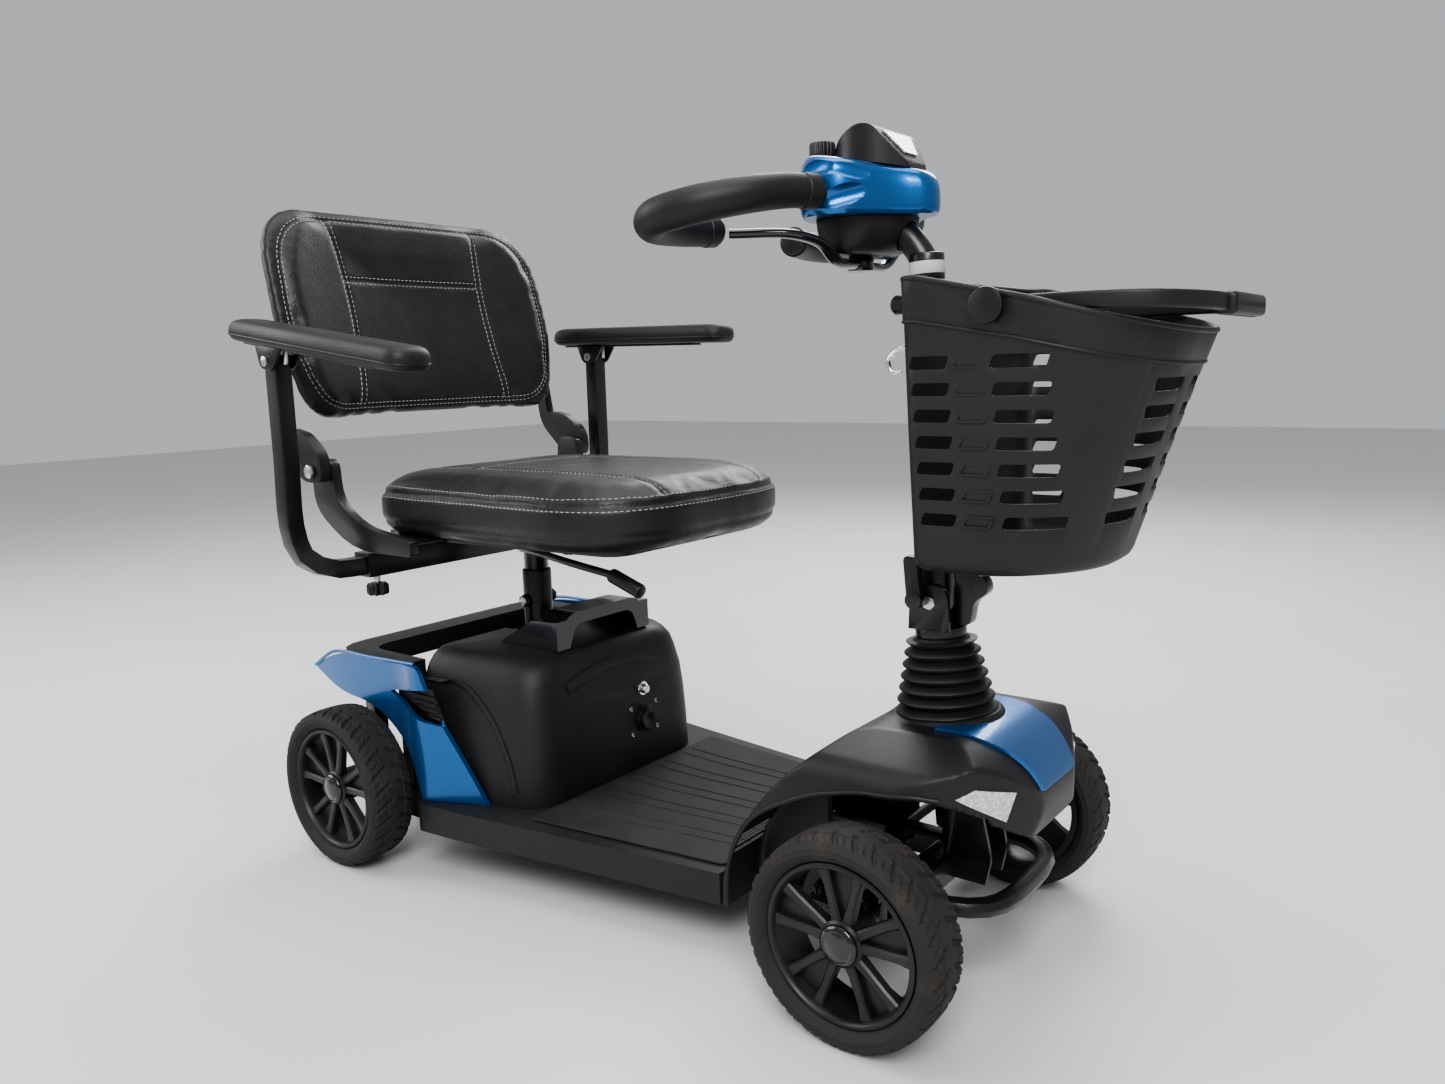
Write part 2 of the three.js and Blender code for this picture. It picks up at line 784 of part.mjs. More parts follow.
add(
  "motor_controller",
  join(
    block(rearAxleX - 44, rearAxleX + 46, -66, 66, shelfZ + 4 + gap, shelfZ + 26),
    ...[-2, -1, 0, 1, 2].map((k) =>
      block(rearAxleX - 44, rearAxleX + 46, k * 24 - 3, k * 24 + 3, shelfZ + 25, shelfZ + 34),
    ),
  ),
  "steel",
);
for (const [side, s] of sides) {
  const inner = [rearAxleX, s * shaftInner, tyreRadius];
  const outer = [rearAxleX, s * (rearTrack / 2 + hubOut - 7), tyreRadius];
  add(`half_shaft_${side}`, rod(inner, outer, shaftRadius, 16), "zinc");
}

// ---- battery pack ----
const notchHalf = postOuter + 9;
const notchFront = seatPostX + postOuter + 9;
const handleRise = 44;
const notch = (grow) => block(
  batteryRear - 20,
  notchFront + grow,
  -notchHalf - grow,
  notchHalf + grow,
  60,
  400,
);
const buttonAt = [batteryFront - 6, 44, batteryTop - 74];
const portAt = [batteryFront - 4, 42, batteryTop - 114];
const buttonRadius = 6;
const portRadius = 13;
const batteryShell = cut(
  batteryBody(0),
  cut(batteryBody(skin), notch(skin)),
  block(batteryRear - 10, batteryFront + 10, -200, 200, 60, deckTop + gap),
  notch(0),
  rod(
    [buttonAt[0] - 20, ...buttonAt.slice(1)],
    [buttonAt[0] + 20, ...buttonAt.slice(1)],
    buttonRadius + running,
    16,
  ),
);
const portBoss = rod(
  [portAt[0] - 8, ...portAt.slice(1)],
  [portAt[0] + 7, ...portAt.slice(1)],
  portRadius + 3,
  24,
);
add("battery_case", join(batteryShell, portBoss), "plastic");
add(
  "charge_port_cap",
  join(
    rod([portAt[0] + 7 + gap, ...portAt.slice(1)], [portAt[0] + 11, ...portAt.slice(1)], portRadius, 24),
    block(portAt[0] + 7 + gap, portAt[0] + 10, portAt[1] - 5, portAt[1] + 5, portAt[2] + 8, portAt[2] + 21),
  ),
  "rubber",
);
add(
  "breaker_button",
  rod([buttonAt[0] - 12, ...buttonAt.slice(1)], [buttonAt[0] + 9, ...buttonAt.slice(1)], buttonRadius, 16),
  "zinc",
);

const trayInset = skin + 3;
add(
  "battery_tray",
  cut(
    batteryBody(trayInset).intersect(
      block(batteryRear, batteryFront, -200, 200, deckTop + gap, deckTop + 4),
    ),
    notch(skin + 2),
  ),
  "plastic",
);
const cellLength = 151;
const cellWidth = 98;
const cellHeight = 101;
const cellGap = 34; // from the middle plane
for (const [side, s] of sides) {
  const front = batteryFront - 26;
  const low = deckTop + 4 + gap;
  const body = block(
    front - cellLength,
    front,
    s * cellGap,
    s * (cellGap + cellWidth),
    low,
    low + cellHeight - 6,
  );
  const posts = [20, cellLength - 20].map((x) =>
    block(front - x - 6, front - x + 6, s * (cellGap + 14), s * (cellGap + 26), low, low + cellHeight),
  );
  add(`battery_${side}`, join(body, ...posts), "gloss");
}

const handleY = 84;
const handleFront = batteryFront - 26;
function batteryHandle() {
  const bottom = batteryTop + gap;
  const arch = outline([
    [-handleY, bottom],
    [-handleY + 16, batteryTop + handleRise, 34],
    [handleY - 16, batteryTop + handleRise, 34],
    [handleY, bottom],
    [handleY - 22, bottom],
    [handleY - 32, batteryTop + handleRise - 15, 22],
    [-handleY + 32, batteryTop + handleRise - 15, 22],
    [-handleY + 22, bottom],
  ]);
  const bar = alongX(arch, handleFront - 40, handleFront);
  const wedge = outline([
    [handleFront - 104, bottom],
    [handleFront, bottom],
    [handleFront, bottom + 36],
    [handleFront - 44, bottom + 34],
  ]);
  const feet = [-1, 1].map((s) => alongY(wedge, s * (handleY - 20), s * handleY));
  return join(bar, ...feet);
}
add("battery_handle", batteryHandle(), "gloss");

// ---- tiller ----
const tillerRadius = 13.5;
const tillerBlockHalf = clevisInner - running - 0.5;
const tillerTop = [-66, 0, headZ - 6];
const tillerPath = [
  [foldPivot[0], 0, foldPivot[2] + 20],
  [-17, 0, 500],
  [-24, 0, collarZ],
  [-27, 0, collarZ + 16],
  [-44, 0, collarZ + 40],
  tillerTop,
];
const bracketPlate = [basketRear - 9, basketRear - 4];
const bracketTop = basketTop - 28;

function tillerTube() {
  const foot = outline([
    [foldPivot[0] - 15, foldPivot[2] - 13, 8],
    [foldPivot[0] + 15, foldPivot[2] - 13, 8],
    [foldPivot[0] + 14, foldPivot[2] + 34],
    [foldPivot[0] - 14, foldPivot[2] + 34],
  ]);
  const pivotBore = rod(
    [foldPivot[0], -40, foldPivot[2]],
    [foldPivot[0], 40, foldPivot[2]],
    kingpinRadius + running,
  );
  const footBlock = cut(alongY(foot, -tillerBlockHalf, tillerBlockHalf), pivotBore);
  const collar = rod([-24, 0, collarZ - 2], [-25, 0, collarZ + 24], tillerRadius + 3.5, 18);
  const arms = block(-22, bracketPlate[0] + 1, -10, 10, bracketTop - 56, bracketTop - 30);
  const plate = block(...bracketPlate, -36, 36, bracketTop - 96, bracketTop);
  const hookBar = sweep(
    [[-30, 0, -30], [-52, 0, -36], [-60, 0, -46], [-58, 0, -52]].map(([x, y, up]) => [x, y, bracketTop + up]),
    circle(3.5, 6),
    5,
  );
  const catchPin = rod([-17, -9, 430], [8, -9, 430], 4, 10);
  return join(
    footBlock,
    sweep(tillerPath, circle(tillerRadius, 12), 12),
    collar,
    arms,
    plate,
    hookBar,
    catchPin,
  );
}
add("tiller_tube", tillerTube(), "steel");

const camZ = foldPivot[2] + 4;
const camAt = [foldPivot[0] - 10, camZ];
add(
  "cam_lever",
  join(
    rod([camAt[0], -clevisOuter - gap, camAt[1]], [camAt[0], -clevisOuter - 14, camAt[1]], 9, 18),
    alongY(
      outline([
        [camAt[0] - 8, camAt[1]],
        [camAt[0] + 8, camAt[1]],
        [camAt[0] + 2, camAt[1] + 44, 6],
        [camAt[0] - 12, camAt[1] + 44, 6],
      ]),
      -clevisOuter - 2,
      -clevisOuter - 12,
    ),
  ),
  "steel",
);
const latchPivot = [foldPivot[0] + 27, foldPivot[2] - 12];
const latchOutline = outline([
  [latchPivot[0] - 4, latchPivot[1] - 10, 4],
  [latchPivot[0] + 10, latchPivot[1] - 10, 6],
  [latchPivot[0] + 14, latchPivot[1] + 14, 6],
  [latchPivot[0] + 30, latchPivot[1] + 26, 8],
  [latchPivot[0] + 26, latchPivot[1] + 40, 6],
  [latchPivot[0] + 6, latchPivot[1] + 44, 8],
  [latchPivot[0] - 6, latchPivot[1] + 52, 4],
  [latchPivot[0] - 7, latchPivot[1] + 42],
]);
add("fold_latch", alongY(latchOutline, -7, 7), "steel");

// ---- head ----
const headHalf = 82;
const headRear = -140;
const headNose = -13;
const headCorner = -118; // x of the widest rear corner
const headSlope = -0.2; // fall of the top towards the nose
const headHeight = 60;
const lowerHalf = 54;
const lowerDepth = 33;

function headPlan(shrink, half) {
  return outline(
    mirrored([
      [headRear + shrink, -half * 0.55, 20],
      [headCorner + shrink * 0.5, -half + shrink, 24],
      [headCorner + 42, -half + shrink, 24],
      [headNose - 32 - shrink, -half * 0.42, 24],
      [headNose - shrink, -half * 0.14, 10],
    ]),
    4,
  );
}

function headTopZ(x) {
  return headZ + headHeight + headSlope * (x - headCorner);
}

const gripRadius = 18;
const coreRadius = 9;
const gripPath = (s) => [
  [-96, s * (headHalf + 6), 771],
  [-108, s * 118, 770],
  [-128, s * 158, 764],
  [-162, s * 188, 756],
  [-200, s * 193, 750],
  [-230, s * 166, 747],
  [-238, s * 120, 747],
  [-228, s * 72, 748],
];
const coreBore = (s) => rod([-96, s * 50, 771], [-96, s * 120, 771], coreRadius + running, 16);

const dialAt = [-126, -26];
const dialRadius = 13;
const dialZ = headTopZ(dialAt[0]) + 1;
const cowlHalf = 46;

const tubeRoom = join(
  sweep([...tillerPath.slice(2), [-78, 0, headZ + 6]], circle(tillerRadius + 2, 10), 6),
  rod([tillerTop[0] + 2, 0, headZ - 22], [tillerTop[0] + 2, 0, headZ + 14], tillerRadius + 5, 12),
);

function headUpper() {
  const levels = [[0, 3, 1], [0.25, 0, 1], [0.7, 1.5, 1], [0.93, 7, 1], [1, 14, 1]];
  const rings = levels.map(([share, shrink]) =>
    headPlan(shrink, headHalf).map((p) => {
      const top = headTopZ(p.x);
      return new THREE.Vector3(p.x, p.y, headZ + gap + share * (top - headZ - gap));
    }),
  );
  const dialHole = rod([...dialAt, dialZ - 20], [...dialAt, dialZ + 5], 4, 12);
  return cut(loft(rings), coreBore(-1), coreBore(1), tubeRoom, dialHole);
}
add("head_upper", headUpper(), "blue");

function headLower() {
  const levels = [[0, 0, 0], [0.45, 2, 4], [0.9, 12, 14], [1, 18, 20]];
  const rings = levels.map(([share, draw, front]) =>
    outline(
      mirrored([
        [headCorner - 10 + draw * 0.6, -lowerHalf * 0.6, 14],
        [headCorner + draw, -lowerHalf + draw * 0.5, 20],
        [headNose - 58 - front, -lowerHalf + draw * 0.6, 20],
        [headNose - 26 - front, -18, 14],
      ]),
      4,
    ).map((p) => new THREE.Vector3(p.x, p.y, headZ - share * lowerDepth)),
  );
  return cut(loft(rings), tubeRoom);
}
add("head_lower", headLower(), "plastic");

const cowlOutline = outline([
  [-120, headTopZ(-120) + gap],
  [-98, 826, 12],
  [-76, 836, 8],
  [-62, 834, 6],
  [-36, headTopZ(-36) + 6],
  [-34, headTopZ(-34) + gap],
]);
const cowlPlan = outline(
  mirrored([[-124, -14, 8], [-92, -cowlHalf, 20], [-58, -cowlHalf + 4, 12], [-32, -16, 8]]),
  4,
);
const dialRoom = rod([...dialAt, 780], [...dialAt, 840], dialRadius + 2, 24);
add(
  "head_cowl",
  cut(alongY(cowlOutline, -60, 60).intersect(alongZ(cowlPlan, 780, 860)), dialRoom),
  "plastic",
);

add(
  "speed_dial",
  join(
    rod([...dialAt, dialZ], [...dialAt, dialZ + 15], dialRadius, 24),
    rod([...dialAt, dialZ - 14], [...dialAt, dialZ + 1], 3.4, 12),
  ),
  "plastic",
);
const keyAt = [headRear - 2, 24, 778];
add(
  "ignition_key",
  join(
    rod([keyAt[0] - 4, keyAt[1], keyAt[2]], [keyAt[0] - gap, keyAt[1], keyAt[2]], 6, 16),
    block(keyAt[0] - 30, keyAt[0] - 3, keyAt[1] - 1.5, keyAt[1] + 1.5, keyAt[2] - 9, keyAt[2] + 9),
  ),
  "zinc",
);
for (const [side, s] of sides) {
  const core = rod([-96, s * 56, 771], [-96, s * (headHalf + 8), 771], coreRadius, 16);
  add(`grip_${side}`, join(sweep(gripPath(s), circle(gripRadius, 10), 16, [0, 0, 1]), core), "rubber");
}

const leverHubX = -98;
const leverZ = headZ - lowerDepth - 8;
const leverHalf = (s) => [
  [leverHubX, 0, leverZ],
  [leverHubX, s * 44, leverZ],
  [leverHubX - 2, s * 72, leverZ + 16],
  [leverHubX - 18, s * 100, leverZ + 24],
  [leverHubX - 66, s * 132, leverZ + 26],
];
add(
  "throttle_lever",
  join(
    rod([leverHubX, 0, leverZ - 7], [leverHubX, 0, headZ - lowerDepth - gap], 13, 20),
    ...[-1, 1].map((s) => sweep(leverHalf(s), circle(6.5, 8), 10, [0, 0, 1])),
  ),
  "gloss",
);

// ---- basket ----
const basketLevel = basketRear + 39; // the rim falls from here forwards
const basketDrop = basketFall / (basketFront - basketLevel);
const basketLean = 66; // the front wall leans out by this much
const handlePin = [basketRear + 82, basketTop - 26];
const pinRadius = 8;

function rimZ(x) {
  return basketTop - Math.max(0, x - basketLevel) * basketDrop;
}

function basketRing(share, inset, extra = 0) {
  const front = basketFront - basketLean * (1 - share) - inset;
  const half = basketHalfWidth - 22 * (1 - share) - inset;
  const rear = basketRear + inset;
  const plan = outline(
    mirrored([
      [rear, -half, 14],
      [front - 52, -half, 60],
      [front, -half * 0.42, 50],
    ]),
    3,
  );
  const top = share === 1 ? extra : 0;
  return plan.map((p) => new THREE.Vector3(
    p.x,
    p.y,
    basketBottom + share * (rimZ(p.x) - basketBottom) + top,
  ));
}

function basket() {
  const outer = loft([
    basketRing(0, 12),
    basketRing(0.04, 1),
    basketRing(1, 0),
  ]);
  const inner = loft([
    basketRing(0.015, 15),
    basketRing(0.05, 1 + basketWall),
    basketRing(1, basketWall, 5),
  ]);
  const rows = 6;
  const pitch = 26;
  const slotHeight = 13;
  const sideSlots = Array.from({ length: rows }, (_, row) => {
    const low = basketBottom + 46 + row * pitch;
    const columns = [
      [basketRear + 10, basketRear + 44 - row * 3],
      [basketFront - 126 - row * 3, basketFront - 72 - row * 2],
    ];
    return columns.map(([x0, x1]) => block(x0, x1, -300, 300, low, low + slotHeight));
  }).flat();
  const frontSlots = Array.from({ length: rows - 1 }, (_, row) => {
    const low = basketBottom + 44 + row * pitch;
    return [-1, 1].map((s) => block(
      basketFront - basketLean - 29,
      basketFront + 165,
      s * 12,
      s * 62,
      low,
      low + slotHeight,
    ));
  }).flat();
  const pinHoles = rod(
    [handlePin[0], -300, handlePin[1]],
    [handlePin[0], 300, handlePin[1]],
    pinRadius + running,
    12,
  );
  const hanger = join(
    block(bracketPlate[0] - 6, basketRear + 1, -28, 28, bracketTop + gap, bracketTop + 8),
    block(bracketPlate[0] - 6, bracketPlate[0] - 1, -28, 28, bracketTop - 12, bracketTop + 1),
  );
  return join(cut(outer, inner, ...sideSlots, ...frontSlots, pinHoles), hanger);
}
add("basket", basket(), "plastic");

const bailSection = outline([[-7, -4.5, 3], [7, -4.5, 3], [7, 4.5, 3], [-7, 4.5, 3]], 1);
const bailOver = 4.355; // bail above the rim where it turns in
const bailInner = basketHalfWidth - basketWall - 16;
function basketHandle() {
  const path = [
    [handlePin[0] - 6, -bailInner, handlePin[1]],
    [basketFront - 72, -bailInner, rimZ(basketFront - 72) + bailOver],
    [basketFront - 14, -bailInner + 12, handlePin[1]],
    [basketFront + 18, -bailInner + 52, handlePin[1] - 2],
    [basketFront + 25, 0, handlePin[1] - 4],
  ];
  const rest = path.slice(0, -1).reverse().map(([x, y, z]) => [x, -y, z]);
  const pins = [-1, 1].flatMap((s) => [
    rod(
      [handlePin[0], s * (bailInner - 4), handlePin[1]],
      [handlePin[0], s * (basketHalfWidth + 2), handlePin[1]],
      pinRadius,
      12,
    ),
    rod(
      [handlePin[0], s * (basketHalfWidth + 1), handlePin[1]],
      [handlePin[0], s * (basketHalfWidth + 6), handlePin[1]],
      15,
      20,
    ),
  ]);
  const grip = block(basketFront + 16, basketFront + 34, -52, 52, handlePin[1] - 13, handlePin[1] + 5);
  return join(sweep([...path, ...rest], bailSection, 18, [0, 0, 1]), ...pins, grip);
}
add("basket_handle", basketHandle(), "plastic");

// ---- seat ----
const seatFront = seatPostX + 333;
const seatRear = seatPostX - 129;
const plateThick = 8;
const hubTop = seatPlateTop - plateThick;
const postFlange = hubTop - 12;
add(
  "seat_post",
  join(
    rod([seatPostX, 0, postFoot], [seatPostX, 0, postFlange], postInner, 24),
    rod([seatPostX, 0, postFlange - 8], [seatPostX, 0, postFlange], 30, 24),
  ),
  "steel",
);

const receiverX = seatPostX - 109;
const receiverZ = seatPlateTop - 38;
const receiverHalf = 15;
const receiverEnd = seatHalfWidth - 8;
const tubeHalf = 11;

const leverPivot = [seatPostX + 39, hubTop - 16];

function receiverBar(half, end) {
  return block(receiverX - half, receiverX + half, -end, end, receiverZ - half, receiverZ + half);
}

function seatPan() {
  const plan = outline([
    [seatRear + 12, 50 - seatHalfWidth, 20],
    [seatFront - 64, 70 - seatHalfWidth, 30],
    [seatFront - 64, seatHalfWidth - 70, 30],
    [seatRear + 12, seatHalfWidth - 50, 20],
  ]);
  const plate = alongZ(plan, hubTop, seatPlateTop);
  const hub = rod([seatPostX, 0, postFlange + gap], [seatPostX, 0, hubTop + 1], 36, 28);
  const receiver = cut(
    receiverBar(receiverHalf, receiverEnd),
    receiverBar(tubeHalf + running, receiverEnd + 8),
  );
  const hangers = [-1, 1].map((s) =>
    block(receiverX - 14, receiverX + 14, s * 100, s * 110, receiverZ + receiverHalf - 1, hubTop + 1),
  );
  const curve = outline([
    [seatPostX + 24, hubTop - 6, 4],
    [seatPostX - 91, hubTop - 6, 50],
    [backHingeX - 26, backHingeZ - 46, 40],
    [backHingeX - 20, backHingeZ + 14, 14],
    [backHingeX + 20, backHingeZ + 14, 14],
    [backHingeX + 22, backHingeZ - 36, 30],
    [seatPostX - 69, hubTop + 24, 40],
    [seatPostX + 24, hubTop + 12, 4],
  ]);
  const arms = [-1, 1].map((s) => alongY(curve, s * sideArm[0], s * sideArm[1]));
  const wings = [-1, 1].map((s) => block(
    seatPostX - 91,
    seatPostX - 1,
    s * (seatHalfWidth - 60),
    s * (sideArm[0] + 1),
    hubTop,
    seatPlateTop,
  ));
  const pins = [-1, 1].map((s) =>
    rod(
      [backHingeX, s * (sideArm[1] - 2), backHingeZ],
      [backHingeX, s * (sideArm[1] + 17), backHingeZ],
      6,
      14,
    ),
  );
  const lug = block(leverPivot[0] - 12, leverPivot[0] + 12, -50, -45, leverPivot[1] - 8, hubTop + 1);
  return join(plate, hub, receiver, ...hangers, ...arms, ...wings, ...pins, lug);
}
add("seat_pan", seatPan(), "steel");

const leverPath = [
  [leverPivot[0] - 8, -57, leverPivot[1]],
  [leverPivot[0] + 60, -80, leverPivot[1]],
  [leverPivot[0] + 128, -100, leverPivot[1] - 2],
  [leverPivot[0] + 192, -100, leverPivot[1] - 10],
];
const leverEnd = [leverPivot[0] + 238, -100, leverPivot[1] - 26];
add(
  "seat_lever",
  join(
    sweep(leverPath, circle(4.5, 8), 8, [0, 0, 1]),
    rod(leverPath.at(-1), leverEnd, 8.5, 12),
    rod([leverPivot[0], -60, leverPivot[1]], [leverPivot[0], -50 - gap, leverPivot[1]], 6, 12),
  ),
  "steel",
);

const cushionLevels = [[0, 24], [8, 8], [26, 0], [50, 0], [62, 8], [72, 34], [78, 90]];
add(
  "seat_cushion",
  loft(
    cushionLevels.map(([up, inset]) =>
      outline(
        mirrored([
          [seatRear + inset, -seatHalfWidth + 14 + inset, 60],
          [seatFront - inset, -seatHalfWidth + inset, 150],
        ]),
        6,
      ).map((p) => new THREE.Vector3(p.x, p.y, seatPlateTop + gap + up)),
    ),
  ),
  "leather",
);

const backBottom = backHingeZ + 54;
const backTop = backBottom + 286;
const backThick = 44;
const backWing = 42; // how far the side edges stand forward of the middle
const recline = Math.tan(THREE.MathUtils.degToRad(backRecline));
function backX(y, z) {
  return backHingeX - 40 - recline * (z - backBottom) + backWing * (y / backHalfWidth) ** 2;
}
const backLevels = [[0, 26], [8, 8], [16, 0], [30, 0], [38, 8], [backThick, 40]];
add(
  "backrest_cushion",
  loft(
    backLevels.map(([deep, inset]) =>
      outline(
        [
          [-backHalfWidth + 26 + inset, backBottom + inset, 40],
          [backHalfWidth - 26 - inset, backBottom + inset, 40],
          [backHalfWidth - inset, backBottom + 108, 120],
          [backHalfWidth - 8 - inset, backTop - inset, 130],
          [-backHalfWidth + 8 + inset, backTop - inset, 130],
          [-backHalfWidth + inset, backBottom + 108, 120],
        ],
        5,
      ).map((p) => new THREE.Vector3(backX(p.x, p.y) - backThick + deep, p.x, p.y)),
    ),
  ),
  "leather",
);

for (const [side, s] of sides) {
  const behind = (z, y) => backX(y, z) - backThick - 1;
  const bracketIn = sideArm[0] - 5;
  const bracketOut = sideArm[1] + 1;
  const plateTop = backBottom + 88;
  const plate = outline([
    [backHingeX + 20, backHingeZ - 14, 14],
    [backHingeX + 18, backHingeZ + 22, 14],
    [backHingeX - 14, backBottom - 8, 10],
    [behind(backBottom, bracketIn) + 14, backBottom - 3],
    [behind(backBottom, bracketIn), backBottom - 3],
    [behind(plateTop, bracketOut), plateTop, 6],
    [behind(plateTop, bracketOut) - 14, plateTop, 6],
    [behind(backBottom, bracketOut) - 22, backBottom - 20, 20],
    [backHingeX - 20, backHingeZ - 14, 14],
  ]);
  const upper = cut(
    alongY(plate, s * (sideArm[1] + gap + 0.6), s * (sideArm[1] + 15)),
    rod(
      [backHingeX, s * bracketIn, backHingeZ],
      [backHingeX, s * (bracketOut + 42), backHingeZ],
      6 + running,
      14,
    ),
  );
  add(`back_bracket_${side}`, upper, "plastic");
}

// ---- armrests ----
for (const [side, s] of sides) {
  const y = s * armrestY;
  const bend = [
    [armrestPivotX, y, armrestPivotZ + 7],
    [armrestPivotX, y, armrestPivotZ - 112],
    [armrestPivotX, y, receiverZ + 52],
    [armrestPivotX + 8, y - s * 6, receiverZ + 20],
    [receiverX - 2, y - s * 26, receiverZ + 4],
    [receiverX, s * (receiverEnd + 28), receiverZ],
    [receiverX, s * (receiverEnd + 4), receiverZ],
    [receiverX, s * (receiverEnd - 126), receiverZ],
  ];
  const section = [
    [-tubeHalf, -tubeHalf],
    [tubeHalf, -tubeHalf],
    [tubeHalf, tubeHalf],
    [-tubeHalf, tubeHalf],
  ];
  const post = sweep(bend, section.map(([u, v]) => new THREE.Vector2(u, v)), 22, [1, 0, 0]);
  const eye = rod([armrestPivotX, y - 50, armrestPivotZ], [armrestPivotX, y + 50, armrestPivotZ], 4.5, 12);
  add(`armrest_post_${side}`, cut(post, eye), "steel");

  const roof = armrestPivotZ + 15;
  const padRear = armrestPivotX - 68;
  const padNose = padRear + armrestLength;
  const padPlan = (inset) =>
    outline(
      [
        [padRear + inset, -28 + inset, 14],
        [padNose - inset, -28 + inset, 26],
        [padNose - inset, 28 - inset, 26],
        [padRear + inset, 28 - inset, 14],
      ],
      4,
    );
  const pad = loft(
    [[0, 7], [6, 0], [17, 0], [24, 6], [26, 14]].map(([up, inset]) =>
      padPlan(inset).map((p) => new THREE.Vector3(p.x, p.y, roof + 3 + up)),
    ),
  );
  const spine = block(padRear + 16, padNose - 60, -13, 13, roof, roof + 4);
  const cheek = outline([
    [armrestPivotX - 12, armrestPivotZ - 10, 8],
    [armrestPivotX + 12, armrestPivotZ - 10, 8],
    [armrestPivotX + 30, roof + 2],
    [armrestPivotX - 24, roof + 2],
  ]);
  const cheeks = [-1, 1].map((k) => alongY(cheek, k * (tubeHalf + 1), k * (tubeHalf + 4)));
  const bolt = rod([armrestPivotX, -17, armrestPivotZ], [armrestPivotX, 17, armrestPivotZ], 4, 12);
  const tilt = new THREE.Matrix4().makeTranslation(armrestPivotX, y, armrestPivotZ);
  tilt.multiply(new THREE.Matrix4().makeRotationY(THREE.MathUtils.degToRad(armrestDroop[side])));
  tilt.multiply(new THREE.Matrix4().makeTranslation(-armrestPivotX, 0, -armrestPivotZ));
  add(`armrest_${side}`, join(pad, spine, ...cheeks, bolt).transform(tilt.elements), "plastic");

  const knobY = s * (receiverEnd - 20);
  const knobTop = receiverZ - receiverHalf - gap;
  add(
    `clamp_knob_${side}`,
    join(
      rod([receiverX, knobY, knobTop], [receiverX, knobY, knobTop - 12], 4.5, 12),
      rod([receiverX, knobY, knobTop - 11], [receiverX, knobY, knobTop - 26], 14, 16),
    ),
    "plastic",
  );
}

// ---- the whole, centred over its footprint ----
const whole = new THREE.Box3().setFromObject(group);
const middle = whole.getCenter(new THREE.Vector3());
for (const piece of group.children) piece.geometry.translate(-middle.x, -middle.y, -whole.min.z);

export default group;
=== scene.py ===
"""A four-wheeled mobility scooter: the looks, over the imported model. Lengths here are in millimetres,
measured from the front axle (x) and the floor (z), and become metres in the row frame when a mesh is made."""
import json
import math

import bmesh
import bpy
from mathutils import Matrix, Vector
from mathutils.bvhtree import BVHTree
from mathutils.kdtree import KDTree


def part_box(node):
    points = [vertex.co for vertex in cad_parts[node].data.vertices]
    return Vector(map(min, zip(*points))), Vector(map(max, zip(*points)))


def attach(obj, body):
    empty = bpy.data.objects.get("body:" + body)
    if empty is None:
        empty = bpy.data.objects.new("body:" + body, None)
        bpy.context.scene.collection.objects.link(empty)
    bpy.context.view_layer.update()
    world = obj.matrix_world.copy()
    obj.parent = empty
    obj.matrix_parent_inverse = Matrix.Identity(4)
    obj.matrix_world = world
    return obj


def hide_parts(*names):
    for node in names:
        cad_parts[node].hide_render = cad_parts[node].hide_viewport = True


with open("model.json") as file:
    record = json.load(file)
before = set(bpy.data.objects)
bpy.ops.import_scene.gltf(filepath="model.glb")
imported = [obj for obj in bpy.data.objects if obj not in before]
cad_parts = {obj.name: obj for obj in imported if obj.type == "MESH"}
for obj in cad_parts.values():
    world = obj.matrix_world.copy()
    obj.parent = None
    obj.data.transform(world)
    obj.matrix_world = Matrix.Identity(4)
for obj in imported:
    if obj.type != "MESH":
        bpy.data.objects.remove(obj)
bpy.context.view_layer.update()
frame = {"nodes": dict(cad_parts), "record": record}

SIDES = (("right", -1), ("left", 1))
lo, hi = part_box("front_tyre_right")
FRONT_X = (lo.x + hi.x) / 2
BODY_OF = {n: b for b, ns in frame["record"]["behaviour"]["bodies"].items() for n in ns}


def at(x, y, z):
    """A place in the script's millimetres, in the row frame's metres."""
    return Vector((x / 1000 + FRONT_X, y / 1000, z / 1000))


def in_mm(p):
    """The other way round: a place in the row frame, in the script's millimetres."""
    return ((p.x - FRONT_X) * 1000, p.y * 1000, p.z * 1000)


def linked(name, data):
    o = bpy.data.objects.new(name, data)
    bpy.context.scene.collection.objects.link(o)
    return o


def slot_of(node):
    return next(s["material_slot"] for s in frame["record"]["subparts"] if s["node"] == node)


# ---------------------------------------------------------------- materials
def shader(name, colour, rough, metal=0.0, coat=0.0, coat_rough=0.1, sheen=0.0):
    m = bpy.data.materials.new(name)
    m.use_nodes = True
    b = m.node_tree.nodes["Principled BSDF"]
    b.inputs["Base Color"].default_value = (*colour, 1)
    b.inputs["Roughness"].default_value = rough
    b.inputs["Metallic"].default_value = metal
    b.inputs["Coat Weight"].default_value = coat
    b.inputs["Coat Roughness"].default_value = coat_rough
    b.inputs["Sheen Weight"].default_value = sheen
    b.inputs["Specular IOR Level"].default_value = 0.5 if metal else 0.38
    return m, m.node_tree.nodes, m.node_tree.links, b


def noise(nodes, links, scale, detail=4.0, rough=0.55, kind="ShaderNodeTexNoise"):
    where = nodes.new("ShaderNodeTexCoord")
    n = nodes.new(kind)
    n.inputs["Scale"].default_value = scale
    if kind == "ShaderNodeTexNoise":
        n.inputs["Detail"].default_value = detail
        n.inputs["Roughness"].default_value = rough
    links.new(where.outputs["Object"], n.inputs["Vector"])
    return n


